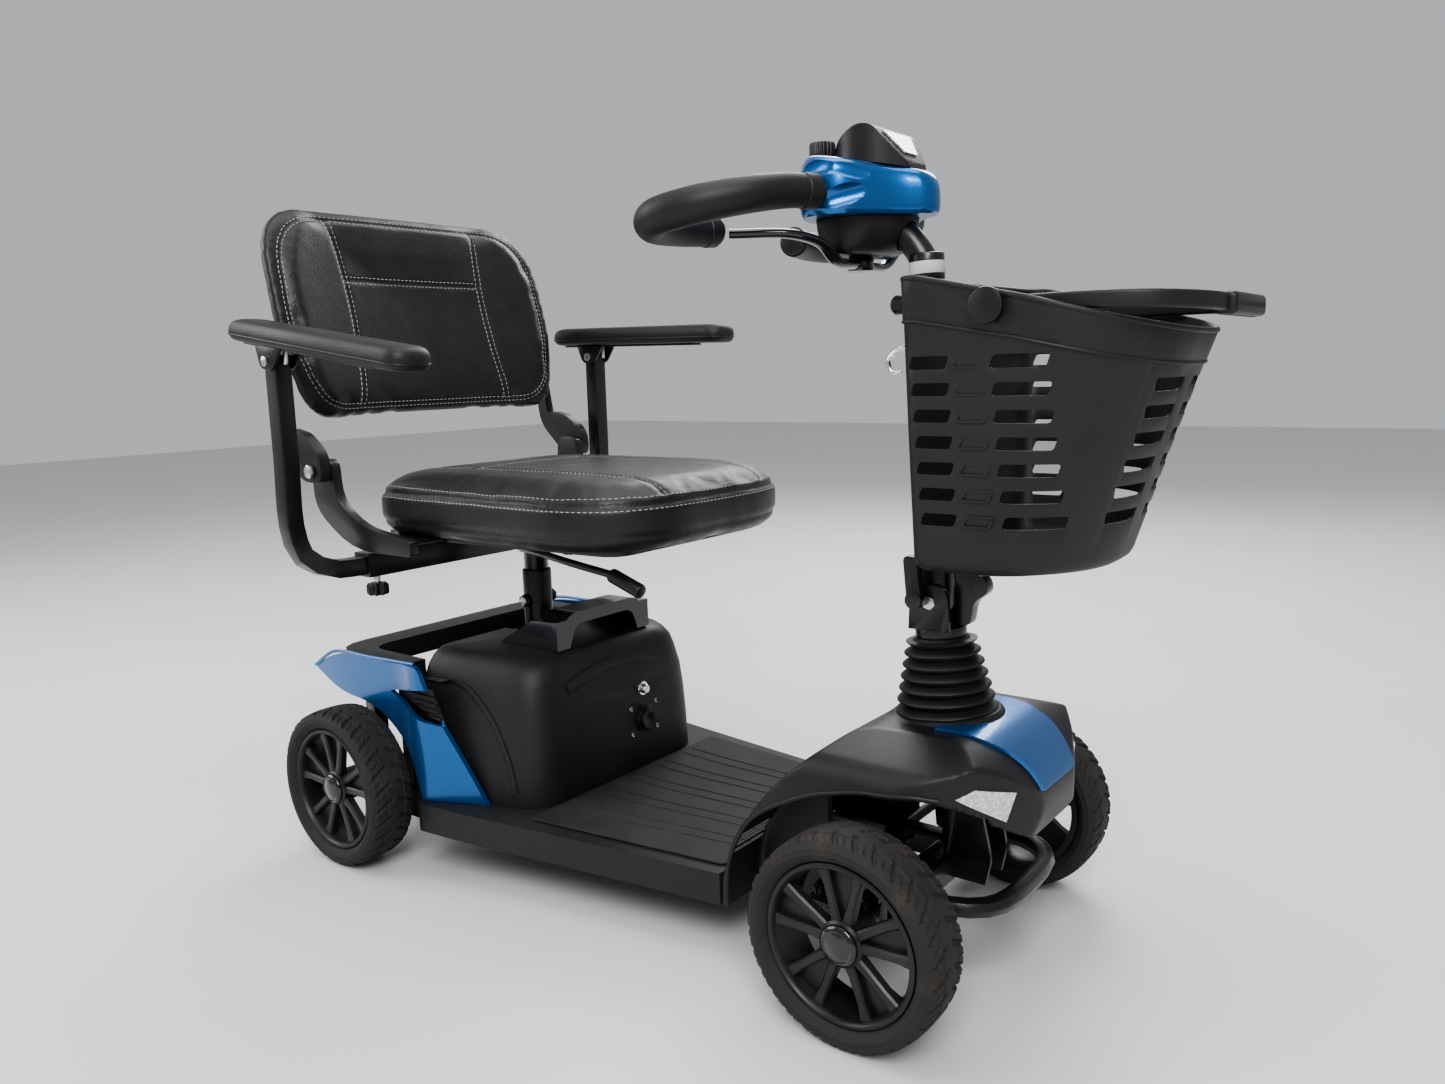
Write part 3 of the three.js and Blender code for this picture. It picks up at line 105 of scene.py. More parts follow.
def ramp(nodes, links, source, stops):
    r = nodes.new("ShaderNodeValToRGB")
    while len(r.color_ramp.elements) < len(stops):
        r.color_ramp.elements.new(0.5)
    for e, (place, value) in zip(r.color_ramp.elements, stops):
        e.position = place
        e.color = (*value, 1) if isinstance(value, tuple) else (value, value, value, 1)
    links.new(source, r.inputs["Fac"])
    return r.outputs["Color"]


def bump(nodes, links, b, height, strength, distance, below=None):
    n = nodes.new("ShaderNodeBump")
    n.inputs["Strength"].default_value = strength
    n.inputs["Distance"].default_value = distance
    links.new(height, n.inputs["Height"])
    if below:
        links.new(below.outputs["Normal"], n.inputs["Normal"])
    links.new(n.outputs["Normal"], b.inputs["Normal"])
    return n


def grained(name, colour, rough, grain=900, depth=0.25, patch=9, spread=0.25, **more):
    """A moulded or coated surface: fine grain, uneven gloss and a little dust in the broad patches."""
    m, nodes, links, b = shader(name, colour, rough, **more)
    fine = noise(nodes, links, grain, 2)
    broad = noise(nodes, links, patch, 5)
    dusty = tuple(min(1, c * (1 + spread) + 0.004) for c in colour)
    links.new(
        ramp(nodes, links, broad.outputs["Fac"], [(0.35, colour), (0.75, dusty)]), b.inputs["Base Color"]
    )
    links.new(
        ramp(
            nodes, links, broad.outputs["Fac"], [(0.3, max(0.05, rough - 0.08)), (0.7, min(1, rough + 0.1))]
        ),
        b.inputs["Roughness"],
    )
    bump(nodes, links, b, fine.outputs["Fac"], depth, 0.0006)
    return m


def metallic_paint():
    m, nodes, links, b = shader(
        "blue_paint", (0.006, 0.105, 0.33), 0.34, metal=0.72, coat=0.7, coat_rough=0.06
    )
    flake = noise(nodes, links, 2600, 1, kind="ShaderNodeTexVoronoi")
    links.new(
        ramp(
            nodes, links, flake.outputs["Color"], [(0.2, (0.004, 0.080, 0.27)), (0.9, (0.012, 0.150, 0.42))]
        ),
        b.inputs["Base Color"],
    )
    broad = noise(nodes, links, 6, 4)
    links.new(ramp(nodes, links, broad.outputs["Fac"], [(0.3, 0.24), (0.7, 0.36)]), b.inputs["Roughness"])
    ripple = noise(nodes, links, 60, 2)
    bump(nodes, links, b, ripple.outputs["Fac"], 0.04, 0.0008)
    return m


def leatherette():
    m, nodes, links, b = shader(
        "leatherette", (0.010, 0.010, 0.011), 0.40, coat=0.10, coat_rough=0.3, sheen=0.03
    )
    cells = noise(nodes, links, 520, kind="ShaderNodeTexVoronoi")
    folds = noise(nodes, links, 34, 5, 0.6)
    broad = noise(nodes, links, 7, 4)
    first = bump(nodes, links, b, cells.outputs["Distance"], 0.32, 0.0009)
    bump(nodes, links, b, folds.outputs["Fac"], 0.22, 0.003, below=first)
    links.new(
        ramp(
            nodes, links, broad.outputs["Fac"], [(0.3, (0.007, 0.007, 0.008)), (0.75, (0.014, 0.014, 0.015))]
        ),
        b.inputs["Base Color"],
    )
    links.new(ramp(nodes, links, folds.outputs["Fac"], [(0.3, 0.34), (0.7, 0.52)]), b.inputs["Roughness"])
    return m


def tyre_rubber():
    m, nodes, links, b = shader("tyre_rubber", (0.03, 0.027, 0.025), 0.78)
    dust = noise(nodes, links, 26, 8, 0.7)
    fine = noise(nodes, links, 700, 3)
    links.new(
        ramp(
            nodes,
            links,
            dust.outputs["Fac"],
            [(0.32, (0.014, 0.013, 0.013)), (0.58, (0.026, 0.023, 0.021)), (0.82, (0.062, 0.053, 0.044))],
        ),
        b.inputs["Base Color"],
    )
    links.new(ramp(nodes, links, dust.outputs["Fac"], [(0.3, 0.6), (0.7, 0.92)]), b.inputs["Roughness"])
    bump(nodes, links, b, fine.outputs["Fac"], 0.4, 0.0007)
    return m


def reflector_lens():
    m, nodes, links, b = shader(
        "reflector_lens", (0.72, 0.74, 0.75), 0.12, metal=0.25, coat=1.0, coat_rough=0.03
    )
    cells = noise(nodes, links, 260, kind="ShaderNodeTexVoronoi")
    bump(nodes, links, b, cells.outputs["Distance"], 0.9, 0.0016)
    links.new(
        ramp(nodes, links, cells.outputs["Distance"], [(0.1, (0.86, 0.87, 0.88)), (0.6, (0.5, 0.52, 0.54))]),
        b.inputs["Base Color"],
    )
    return m


PAINT = metallic_paint()
HIDE = leatherette()
RUBBER = tyre_rubber()
LENS = reflector_lens()
MOULDED = grained("moulded_black", (0.009, 0.009, 0.010), 0.42, grain=1100, depth=0.3)
COARSE = grained("coarse_black", (0.012, 0.012, 0.0125), 0.5, grain=520, depth=0.5)
GLOSS = grained("gloss_black", (0.008, 0.008, 0.009), 0.16, grain=300, depth=0.03, coat=0.7, coat_rough=0.05)
GAITER = grained("gaiter_rubber", (0.009, 0.009, 0.0095), 0.48, grain=800, depth=0.35)
FLOOR_MAT = grained("floor_mat", (0.016, 0.0145, 0.0135), 0.7, grain=480, depth=0.7, patch=16, spread=0.9)
STEEL = grained("black_steel", (0.007, 0.007, 0.0075), 0.32, grain=420, depth=0.14, coat=0.3, coat_rough=0.2)
RIM = grained("rim_black", (0.011, 0.011, 0.0115), 0.36, grain=900, depth=0.15, patch=22, spread=0.7)
ZINC = grained("zinc", (0.58, 0.58, 0.57), 0.3, grain=260, depth=0.12, metal=1.0)
CHROME = grained("chrome", (0.75, 0.75, 0.76), 0.1, grain=60, depth=0.02, metal=1.0)
ALLOY = grained("cast_alloy", (0.32, 0.32, 0.33), 0.5, grain=340, depth=0.5, metal=0.9)
THREAD = grained("pale_thread", (0.36, 0.36, 0.34), 0.75, grain=2400, depth=0.4)
LABEL = grained("pale_band", (0.46, 0.47, 0.47), 0.4, grain=900, depth=0.1)
FINISH = {
    "blue_body": PAINT,
    "black_plastic": MOULDED,
    "gloss_black": GLOSS,
    "deck_rubber": FLOOR_MAT,
    "leatherette": HIDE,
    "tyre_rubber": RUBBER,
    "soft_rubber": GAITER,
    "painted_steel": STEEL,
    "zinc": ZINC,
    "cast_alloy": ALLOY,
}


# ---------------------------------------------------------------- mesh building
def outline(corners, steps=6):
    """Corners are (u, v) or (u, v, radius); a corner with a radius is rounded off."""
    out = []
    n = len(corners)
    for i, c in enumerate(corners):
        p = Vector(c[:2])
        radius = c[2] if len(c) > 2 else 0
        if not radius:
            out.append(p)
            continue
        back = Vector(corners[i - 1][:2]) - p
        on = Vector(corners[(i + 1) % n][:2]) - p
        reach = min(radius, back.length * 0.48, on.length * 0.48)
        a = p + back.normalized() * reach
        b = p + on.normalized() * reach
        for k in range(steps + 1):
            t = k / steps
            out.append(a * (1 - t) ** 2 + p * 2 * t * (1 - t) + b * t * t)
    return out


def mirrored(half):
    return list(half) + [(c[0], -c[1], *c[2:]) for c in reversed(half)]


def circle(radius, n):
    return [
        Vector((radius * math.cos(2 * math.pi * i / n), radius * math.sin(2 * math.pi * i / n)))
        for i in range(n)
    ]


def make(name, verts, faces, material, smooth=True):
    mesh = bpy.data.meshes.new(name)
    mesh.from_pydata([at(*v) for v in verts], [], faces)
    bm = bmesh.new()
    bm.from_mesh(mesh)
    bmesh.ops.remove_doubles(bm, verts=bm.verts, dist=1e-6)
    bmesh.ops.recalc_face_normals(bm, faces=bm.faces)
    bm.to_mesh(mesh)
    bm.free()
    if material:
        mesh.materials.append(material)
    o = linked(name, mesh)
    if smooth:
        soften(o)
    return o


def soften(o, angle=38):
    o.data.polygons.foreach_set("use_smooth", [True] * len(o.data.polygons))
    o.data.set_sharp_from_angle(angle=math.radians(angle))


def loft(name, rings, material, caps=True, closed=False):
    n = len(rings[0])
    verts = [tuple(p) for r in rings for p in r]
    faces = []
    spans = len(rings) if closed else len(rings) - 1
    for r in range(spans):
        s = (r + 1) % len(rings)
        for i in range(n):
            j = (i + 1) % n
            faces.append((r * n + i, r * n + j, s * n + j, s * n + i))
    if caps and not closed:
        faces.append(tuple(range(n))[::-1])
        faces.append(tuple(range((len(rings) - 1) * n, len(rings) * n)))
    return make(name, verts, faces, material)


def prism(name, points, axis, a, b, material):
    """An outline in the other two axes, between two places on this one."""
    order = {
        "x": lambda u, v, w: (w, u, v),
        "y": lambda u, v, w: (u, w, v),
        "z": lambda u, v, w: (u, v, w),
    }[axis]
    return loft(name, [[order(p[0], p[1], w) for p in points] for w in (a, b)], material)


def spline(points, steps):
    """Evenly spaced points on a centripetal curve through these."""
    pts = [Vector(p) for p in points]
    pts = [2 * pts[0] - pts[1], *pts, 2 * pts[-1] - pts[-2]]
    fine = []
    for i in range(1, len(pts) - 2):
        p0, p1, p2, p3 = pts[i - 1 : i + 3]
        t1 = (p1 - p0).length ** 0.5
        t2 = t1 + (p2 - p1).length ** 0.5
        t3 = t2 + (p3 - p2).length ** 0.5
        for k in range(24):
            t = t1 + (t2 - t1) * k / 24
            a1 = p0 * ((t1 - t) / t1) + p1 * (t / t1)
            a2 = p1 * ((t2 - t) / (t2 - t1)) + p2 * ((t - t1) / (t2 - t1))
            a3 = p2 * ((t3 - t) / (t3 - t2)) + p3 * ((t - t2) / (t3 - t2))
            b1 = a1 * ((t2 - t) / t2) + a2 * (t / t2)
            b2 = a2 * ((t3 - t) / (t3 - t1)) + a3 * ((t - t1) / (t3 - t1))
            fine.append(b1 * ((t2 - t) / (t2 - t1)) + b2 * ((t - t1) / (t2 - t1)))
    fine.append(pts[-2])
    return even(fine, steps)


def even(line, steps, closed=False):
    line = list(line) + ([line[0]] if closed else [])
    run = [0.0]
    for a, b in zip(line, line[1:]):
        run.append(run[-1] + (b - a).length)
    out = []
    i = 0
    for k in range(steps if closed else steps + 1):
        want = run[-1] * k / steps
        while i < len(line) - 2 and run[i + 1] < want:
            i += 1
        span = run[i + 1] - run[i]
        out.append(line[i].lerp(line[i + 1], (want - run[i]) / span if span else 0))
    return out


def sweep(name, points, section, material, steps=48, across=(0, 1, 0), size=None, smooth_path=True):
    """A section carried along a curve. size(t) scales it."""
    path = spline(points, steps) if smooth_path else [Vector(p) for p in points]
    rings = []
    held = Vector(across)
    for i, p in enumerate(path):
        ahead = (path[min(i + 1, len(path) - 1)] - path[max(i - 1, 0)]).normalized()
        u = (held - ahead * ahead.dot(held)).normalized()
        v = ahead.cross(u)
        k = size(i / (len(path) - 1)) if size else 1
        rings.append([p + u * (s[0] * k) + v * (s[1] * k) for s in section])
    return loft(name, rings, material)


def turned(name, profile, axis, centre, material, n=64):
    """A closed profile of (radius, along) turned about an axis through centre."""
    along = Vector(axis).normalized()
    u = along.orthogonal().normalized()
    v = along.cross(u)
    c = Vector(centre)
    rings = []
    for i in range(n):
        a = 2 * math.pi * i / n
        out = u * math.cos(a) + v * math.sin(a)
        rings.append([c + out * r + along * h for r, h in profile])
    return loft(name, rings, material, closed=True)


def rod(name, a, b, radius, material, n=32, edge=1.0):
    a, b = Vector(a), Vector(b)
    length = (b - a).length
    e = min(edge, radius * 0.4, length * 0.3)
    profile = [(0.001, 0), (radius - e, 0), (radius - e * 0.3, e * 0.3), (radius, e)]
    profile += [
        (radius, length - e), (radius - e * 0.3, length - e * 0.3), (radius - e, length), (0.001, length)
    ]
    return turned(name, profile, b - a, a, material, n)


def applied(o):
    """The object's mesh with its modifiers worked in."""
    graph = bpy.context.evaluated_depsgraph_get()
    graph.update()
    mesh = bpy.data.meshes.new_from_object(o.evaluated_get(graph))
    old = o.data
    o.modifiers.clear()
    o.data = mesh
    mesh.name = old.name
    bpy.data.meshes.remove(old)
    return o


def boolean(o, tools, kind="DIFFERENCE"):
    for t in tools:
        m = o.modifiers.new("cut", "BOOLEAN")
        m.operation = kind
        m.solver = "EXACT"
        m.object = t
    applied(o)
    for t in tools:
        bpy.data.objects.remove(t)
    soften(o)
    return o


def joined(name, parts):
    """One object of several, each part keeping its own material."""
    bm = bmesh.new()
    mesh = bpy.data.meshes.new(name)
    for p in parts:
        first = len(bm.faces)
        bm.from_mesh(p.data)
        bm.faces.ensure_lookup_table()
        mats = p.data.materials
        for f in bm.faces[first:]:
            mat = mats[f.material_index] if len(mats) else None
            if mat.name not in mesh.materials:
                mesh.materials.append(mat)
            f.material_index = mesh.materials.find(mat.name)
    bm.to_mesh(mesh)
    bm.free()
    for p in parts:
        bpy.data.objects.remove(p)
    o = linked(name, mesh)
    soften(o)
    return o


def bevel(o, width, segments=2, angle=32):
    m = o.modifiers.new("bevel", "BEVEL")
    m.width = width / 1000
    m.segments = segments
    m.limit_method = "ANGLE"
    m.angle_limit = math.radians(angle)
    m.harden_normals = False
    return applied(o)


def moulded(o, voxel=3.0, rounds=8):
    """Runs a shape's edges together, as a moulding's are."""
    m = o.modifiers.new("skin", "REMESH")
    m.mode = "VOXEL"
    m.voxel_size = voxel / 1000
    s = o.modifiers.new("ease", "SMOOTH")
    s.factor = 0.5
    s.iterations = rounds
    applied(o)
    soften(o, 60)
    return o


def place(o, node=None, body=None, slot=None):
    body = body or BODY_OF[node]
    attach(o, body)
    if node:
        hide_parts(node)
        slot = slot or slot_of(node)
    return o


def keep(node, width=1.0, segments=2, material=None):
    """A CAD node that stays, with eased edges."""
    o = frame["nodes"][node]
    o.data.materials.clear()
    o.data.materials.append(material or FINISH[slot_of(node)])
    w = o.modifiers.new("weld", "WELD")
    w.merge_threshold = 0.00002
    b = o.modifiers.new("bevel", "BEVEL")
    b.width = width / 1000
    b.segments = segments
    b.limit_method = "ANGLE"
    b.angle_limit = math.radians(32)
    soften(o, 32)


def tree(o):
    return BVHTree.FromObject(o, bpy.context.evaluated_depsgraph_get())


def laid(o, points, towards=None):
    """Each point moved onto the surface, with its normal. towards is a direction to cast along."""
    t = tree(o)
    out = []
    for p in points:
        q = at(*p)
        if towards:
            d = Vector(towards)
            hit, normal, _, _ = t.ray_cast(q - d * 0.3, d)
        else:
            hit, normal, _, _ = t.find_nearest(q)
        if hit:
            out.append((hit, normal))
    return out


def eased(line, surface, rounds=25):
    """A closed run of surface points, smoothed along itself and laid back on the surface."""
    under = tree(surface)
    pts = [p.copy() for p, _ in line]
    for _ in range(rounds):
        pts = [(pts[i - 1] + pts[i] * 2 + pts[(i + 1) % len(pts)]) / 4 for i in range(len(pts))]
    out = [under.find_nearest(p)[:2] for p in pts]
    return [*out, out[0]]


def crease(o, line, depth, width):
    """Sinks a soft piece's surface along a line of surface points."""
    kd = KDTree(len(line))
    for i, (p, _) in enumerate(line):
        kd.insert(p, i)
    kd.balance()
    normals = [v.normal.copy() for v in o.data.vertices]
    for v, n in zip(o.data.vertices, normals):
        _, _, d = kd.find(v.co)
        if d < width / 1000:
            v.co -= n * (depth / 1000) * (0.5 + 0.5 * math.cos(math.pi * d * 1000 / width))
    o.data.update()


def stitches(name, line, surface, material=THREAD, length=4.4, pitch=6.6, thick=0.5, rows=(0,)):
    """Sewn stitches along a line of surface points, in rows set this far to each side of it."""
    verts, faces = [], []
    under = tree(surface)
    pts = [p for p, _ in line]
    run = 0.0
    nexts = 0.0
    for i in range(len(pts) - 1):
        seg = (pts[i + 1] - pts[i]).length * 1000
        while nexts < run + seg:
            t = (nexts - run) / seg
            p = pts[i].lerp(pts[i + 1], t)
            n = line[i][1]
            ahead = (pts[i + 1] - pts[i]).normalized()
            side = ahead.cross(n).normalized()
            for row in rows:
                c, n, _, _ = under.find_nearest(p + side * row / 1000)
                c = c + n * thick * 0.0005
                base = len(verts)
                for k, r in ((-0.5, 0.35), (-0.3, 1), (0.3, 1), (0.5, 0.35)):
                    for q in range(6):
                        a = math.pi * 2 * q / 6
                        w = (side * math.cos(a) + n * math.sin(a)) * thick * r / 1000
                        verts.append(c + ahead * k * length / 1000 + w)
                for k in range(3):
                    for q in range(6):
                        s = (q + 1) % 6
                        faces.append(
                            (base + k * 6 + q, base + k * 6 + s, base + k * 6 + 6 + s, base + k * 6 + 6 + q)
                        )
                faces.append(tuple(base + q for q in range(6))[::-1])
                faces.append(tuple(base + 18 + q for q in range(6)))
            nexts += pitch
        run += seg
    mesh = bpy.data.meshes.new(name)
    mesh.from_pydata(verts, [], faces)
    mesh.materials.append(material)
    o = linked(name, mesh)
    soften(o)
    return o


def plump(o, cap=9.0, voxel=5.5, pressure=4.0):
    """Fills a cushion: its cover is blown out as cloth, and no point moves further than cap."""
    r = o.modifiers.new("remesh", "REMESH")
    r.mode = "VOXEL"
    r.voxel_size = voxel / 1000
    applied(o)
    start = [v.co.copy() for v in o.data.vertices]
    c = o.modifiers.new("Cloth", "CLOTH")
    c.settings.use_pressure = True
    c.settings.uniform_pressure_force = pressure
    c.settings.effector_weights.gravity = 0
    c.settings.quality = 5
    c.settings.mass = 0.3
    scene = bpy.context.scene
    for f in range(1, 21):
        scene.frame_set(f)
    applied(o)
    scene.frame_set(1)
    for v, s in zip(o.data.vertices, start):
        move = v.co - s
        if move.length > cap / 1000:
            v.co = s + move.normalized() * cap / 1000
    s = o.modifiers.new("ease", "SMOOTH")
    s.factor = 0.5
    s.iterations = 4
    s = o.modifiers.new("fine", "SUBSURF")
    s.levels = 1
    s.render_levels = 1
    applied(o)
    soften(o, 80)
    return o


# ---------------------------------------------------------------- camera, lights, floor
YAW, DIP, ROLL = math.radians(37.62), math.radians(9.05), math.radians(-1.57)
ahead = Vector((-math.sin(YAW) * math.cos(DIP), math.cos(YAW) * math.cos(DIP), -math.sin(DIP)))
right = ahead.cross(Vector((0, 0, 1))).normalized()
up = right.cross(ahead)
right, up = right * math.cos(ROLL) + up * math.sin(ROLL), up * math.cos(ROLL) - right * math.sin(ROLL)
lens = bpy.data.cameras.new("camera")
lens.sensor_width = 36
lens.lens = 1095.4 / 1445 * 36
lens.clip_start = 0.05
camera = linked("camera", lens)
camera.matrix_world = Matrix.Translation(
    at(478.4, -989.5, 610.4)
) @ Matrix((right, up, -ahead)).transposed().to_4x4()
bpy.context.scene.camera = camera


def lamp(name, place_at, size, power, colour=(1, 1, 1)):
    data = bpy.data.lights.new(name, "AREA")
    data.shape = "DISK"
    data.size = size
    data.energy = power
    data.color = colour
    o = linked(name, data)
    o.location = place_at
    o.rotation_euler = (Vector((0, 0, 0.4)) - Vector(place_at)).to_track_quat("-Z", "Y").to_euler()


lamp("key", (1.6, -2.2, 2.6), 1.8, 95)
lamp("fill", (-2.4, -1.4, 1.9), 2.2, 48, (0.95, 0.97, 1.0))
lamp("back", (-0.8, 2.4, 2.4), 2.0, 60)
lamp("top", (0.1, 0.0, 3.2), 2.4, 40)
world = bpy.data.worlds.new("studio")
world.use_nodes = True
world.node_tree.nodes["Background"].inputs["Color"].default_value = (0.80, 0.82, 0.85, 1)
world.node_tree.nodes["Background"].inputs["Strength"].default_value = 0.55
bpy.context.scene.world = world
bpy.context.scene.view_settings.view_transform = "AgX"
bpy.context.scene.view_settings.look = "AgX - Medium High Contrast"

floor_mesh = bpy.data.meshes.new("studio_floor")
floor_mesh.from_pydata(
    [(-9, -9, -0.0005), (9, -9, -0.0005), (9, 9, -0.0005), (-9, 9, -0.0005)], [], [(0, 1, 2, 3)]
)
floor_mesh.materials.append(
    grained("floor_pale", (0.68, 0.67, 0.65), 0.6, grain=40, depth=0.03, patch=1.5, spread=0.03)
)
studio_floor = linked("studio_floor", floor_mesh)

# ---------------------------------------------------------------- wheels
TYRE_R, TYRE_W, RIM_R = 100.0, 60.0, 77.0
REAR_AXLE, FRONT_HALF_TRACK, REAR_HALF_TRACK = -720.0, 194.0, 230.0


def tyre(name, x, y):
    """A directional tread: a middle rib, curved blocks out to the shoulders, and plain sidewalls."""
    around = 420
    half = TYRE_W / 2
    section = [(RIM_R, -22), (RIM_R + 3, -26), (RIM_R + 7, -29), (RIM_R + 9, -half), (RIM_R + 11, -29.4)]
    section += [(TYRE_R - 9, -29.7), (TYRE_R - 5.5, -27.5)]
    tread = [(-1 + 2 * i / 30) for i in range(31)]
    crown = [(TYRE_R - 2.6 * abs(t) ** 3, t * (half - 4.2)) for t in tread]
    profile = section + crown + [(r, -h) for r, h in reversed(section)]
    first = len(section)
    rings = []
    for i in range(around):
        a = 2 * math.pi * i / around
        ring = []
        for k, (r, h) in enumerate(profile):
            if first <= k < first + 31:
                t = tread[k - first]
                w = abs(t)
                turn = (i / around * 30 + 0.62 * w ** 1.4) % 1.0
                depth = 0.0
                if w > 0.16 and turn < 0.24:
                    depth = 2.4
                if 0.40 < w < 0.47:
                    depth = max(depth, 1.8)
                if w > 0.55 and 0.60 < turn < 0.68:
                    depth = max(depth, 1.5)
                r = r - depth
            ring.append((x + r * math.cos(a), y + h, TYRE_R + r * math.sin(a)))
        rings.append(ring)
    o = loft(name, rings, RUBBER, closed=True)
    soften(o, 30)
    return o


def wheel_rim(name, x, y, s):
    """Barrel with a stepped lip, five pairs of spokes from a round boss, and shallow webs between a pair."""
    lip = [(76.4, -24), (76.4, 24), (74.8, 25), (72.4, 25), (70.6, 23), (69.6, 19), (68.6, 6), (68.6, -19)]
    lip += [(69.8, -24)]
    parts = [turned(name, lip, (0, s, 0), (x, y, TYRE_R), RIM, 96)]
    boss = [(8.6, -16), (20, -16), (20, 14), (22, 16), (22, 19), (19.5, 21), (8.6, 21)]
    parts.append(turned(name, boss, (0, s, 0), (x, y, TYRE_R), RIM, 48))
    for pair in range(5):
        for k in (-1, 1):
            a = math.radians(90 + pair * 72 + k * 15)
            out = Vector((math.cos(a), 0, math.sin(a)))
            side = Vector((-math.sin(a), 0, math.cos(a)))
            rings = []
            for r, w, near, far in (
                (17, 5.4, 7, 19), (32, 4.7, 8, 18), (55, 4.4, 9, 18.5), (69.4, 6.2, 7, 20)
            ):
                c = Vector((x, y, TYRE_R)) + out * r
                box = [(-w, near), (w, near), (w, far - 2), (w - 1.8, far), (1.8 - w, far), (-w, far - 2)]
                rings.append([c + side * u + Vector((0, s * v, 0)) for u, v in box])
            parts.append(loft(name, rings, RIM))
        a = math.radians(90 + pair * 72)
        out = Vector((math.cos(a), 0, math.sin(a)))
        side = Vector((-math.sin(a), 0, math.cos(a)))
        rings = []
        for r, w in ((18, 3.5), (40, 8.5), (69.4, 15.5)):
            c = Vector((x, y, TYRE_R)) + out * r
            rings.append(
                [c + side * u + Vector((0, s * v, 0)) for u, v in ((-w, 8.5), (w, 8.5), (w, 11), (-w, 11))]
            )
        parts.append(loft(name, rings, RIM))
    return joined(name, parts)


def hub_cap(name, x, y, s, body):
    dome = [
        (0.001, 0), (19.4, 0), (19.4, 2.0), (18.2, 3.6), (15, 5.0), (13.5, 4.3), (9, 5.8), (4, 6.6),
        (0.001, 6.8)
    ]
    cap = turned(name, dome, (0, s, 0), (x, y + s * 21.2, TYRE_R), GLOSS, 48)
    place(cap, body=body, slot="gloss_black")


for side, s in SIDES:
    for end, x, track in (("front", 0.0, FRONT_HALF_TRACK), ("rear", REAR_AXLE, REAR_HALF_TRACK)):
        body = f"{end}_wheel_{side}"
        place(tyre(f"{end}_tread_{side}", x, s * track), f"{end}_tyre_{side}")
        place(wheel_rim(f"{end}_wheel_rim_{side}", x, s * track, s), f"{end}_rim_{side}")
        hub_cap(f"{end}_hub_cap_{side}", x, s * track, s, body)

# ---------------------------------------------------------------- seat
SEAT_TOP = 416.4


def cushion_ring(up, inset):
    plan = outline(
        mirrored([(-728 + 5 + inset, -181 + inset, 60), (-266 - 5 - inset, -195 + inset, 150)]),
        14,
    )
    return [(p[0], p[1], SEAT_TOP + up) for p in plan]


cushion = loft(
    "seat_pad",
    [
        cushion_ring(u, i)
        for u, i in ((1, 26), (2, 12), (8, 3), (20, 0), (48, 0), (57, 5), (64, 18), (68, 46), (70, 95))
    ],
    HIDE,
)
plump(cushion, cap=9)
for v in cushion.data.vertices:
    v.co.z = max(v.co.z, (SEAT_TOP + 0.4) / 1000)


def rim_line(o, ring_of, n=420):
    return laid(o, even([Vector(p) for p in ring_of], n, closed=True))


border = rim_line(cushion, cushion_ring(57, 2))
border.append(border[0])
crease(cushion, border, 2.6, 7)
low_border = rim_line(cushion, cushion_ring(14, 0))
low_border.append(low_border[0])
crease(cushion, low_border, 1.8, 6)
channels = []
for s in (-1, 1):
    run = [Vector((x, s * (86 + 10 * math.sin((x + 720) / 150)), 500)) for x in range(-704, -290, 6)]
    channels.append(laid(cushion, run, towards=(0, 0, -1)))
cross = laid(cushion, [Vector((-590 - 14 * math.cos(y / 70), y, 500)) for y in range(-88, 90, 5)], (0, 0, -1))
for run in [*channels, cross]:
    crease(cushion, run, 2.4, 8)
place(cushion, "seat_cushion")
for i, (up_by, inset) in enumerate(((62.5, 11), (51, -1))):
    row = eased(rim_line(cushion, cushion_ring(up_by, inset)), cushion)
    place(stitches(f"seat_border_stitch_{i}", row, cushion), body="seat", slot="leatherette")
for i, run in enumerate([*channels, cross]):
    again = [
        h for h in laid(cushion, [((p.x - FRONT_X) * 1000, p.y * 1000, 505) for p, _ in run], (0, 0, -1))
    ]
    place(
        stitches(f"seat_channel_stitch_{i}", again, cushion, rows=(-4.2, 4.2)), body="seat",
        slot="leatherette"
    )

# ---------------------------------------------------------------- backrest
BACK_LOW, BACK_HIGH, BACK_HALF = 552.0, 838.0, 235.0


def back_x(y, z):
    return -778 - math.tan(math.radians(14)) * (z - BACK_LOW) + 42 * (y / BACK_HALF) ** 2


def pad_x(y, z, deep):
    """The pad's surface: the rear face is less hollow than the front one."""
    flatter = 14 * max(0, 1 - deep / 24) * (1 - (y / BACK_HALF) ** 2)
    return back_x(y, z) - 44 + deep + flatter


def back_ring(deep, inset):
    plan = outline(
        [
            (-BACK_HALF + 26 + inset, BACK_LOW + inset, 40),
            (0, BACK_LOW + inset, 300),
            (BACK_HALF - 26 - inset, BACK_LOW + inset, 40),
            (BACK_HALF - inset, 660, 120),
            (BACK_HALF - 8 - inset, BACK_HIGH - inset, 130),
            (-BACK_HALF + 8 + inset, BACK_HIGH - inset, 130),
            (-BACK_HALF + inset, 660, 120),
        ],
        12,
    )
    return [(pad_x(p[0], p[1], deep), p[0], p[1]) for p in plan]


def face_rings(deep, inset, middle=(0, 695)):
    """Rings that close a face towards its middle, on the same curve as its edge."""
    rings = []
    for share in (1, 0.86, 0.7, 0.52, 0.34, 0.16, 0.02):
        ring = [
            (middle[0] + (y - middle[0]) * share, middle[1] + (z - middle[1]) * share)
            for _, y, z in back_ring(0, inset)
        ]
        rings.append([(pad_x(y, z, deep), y, z) for y, z in ring])
    return rings


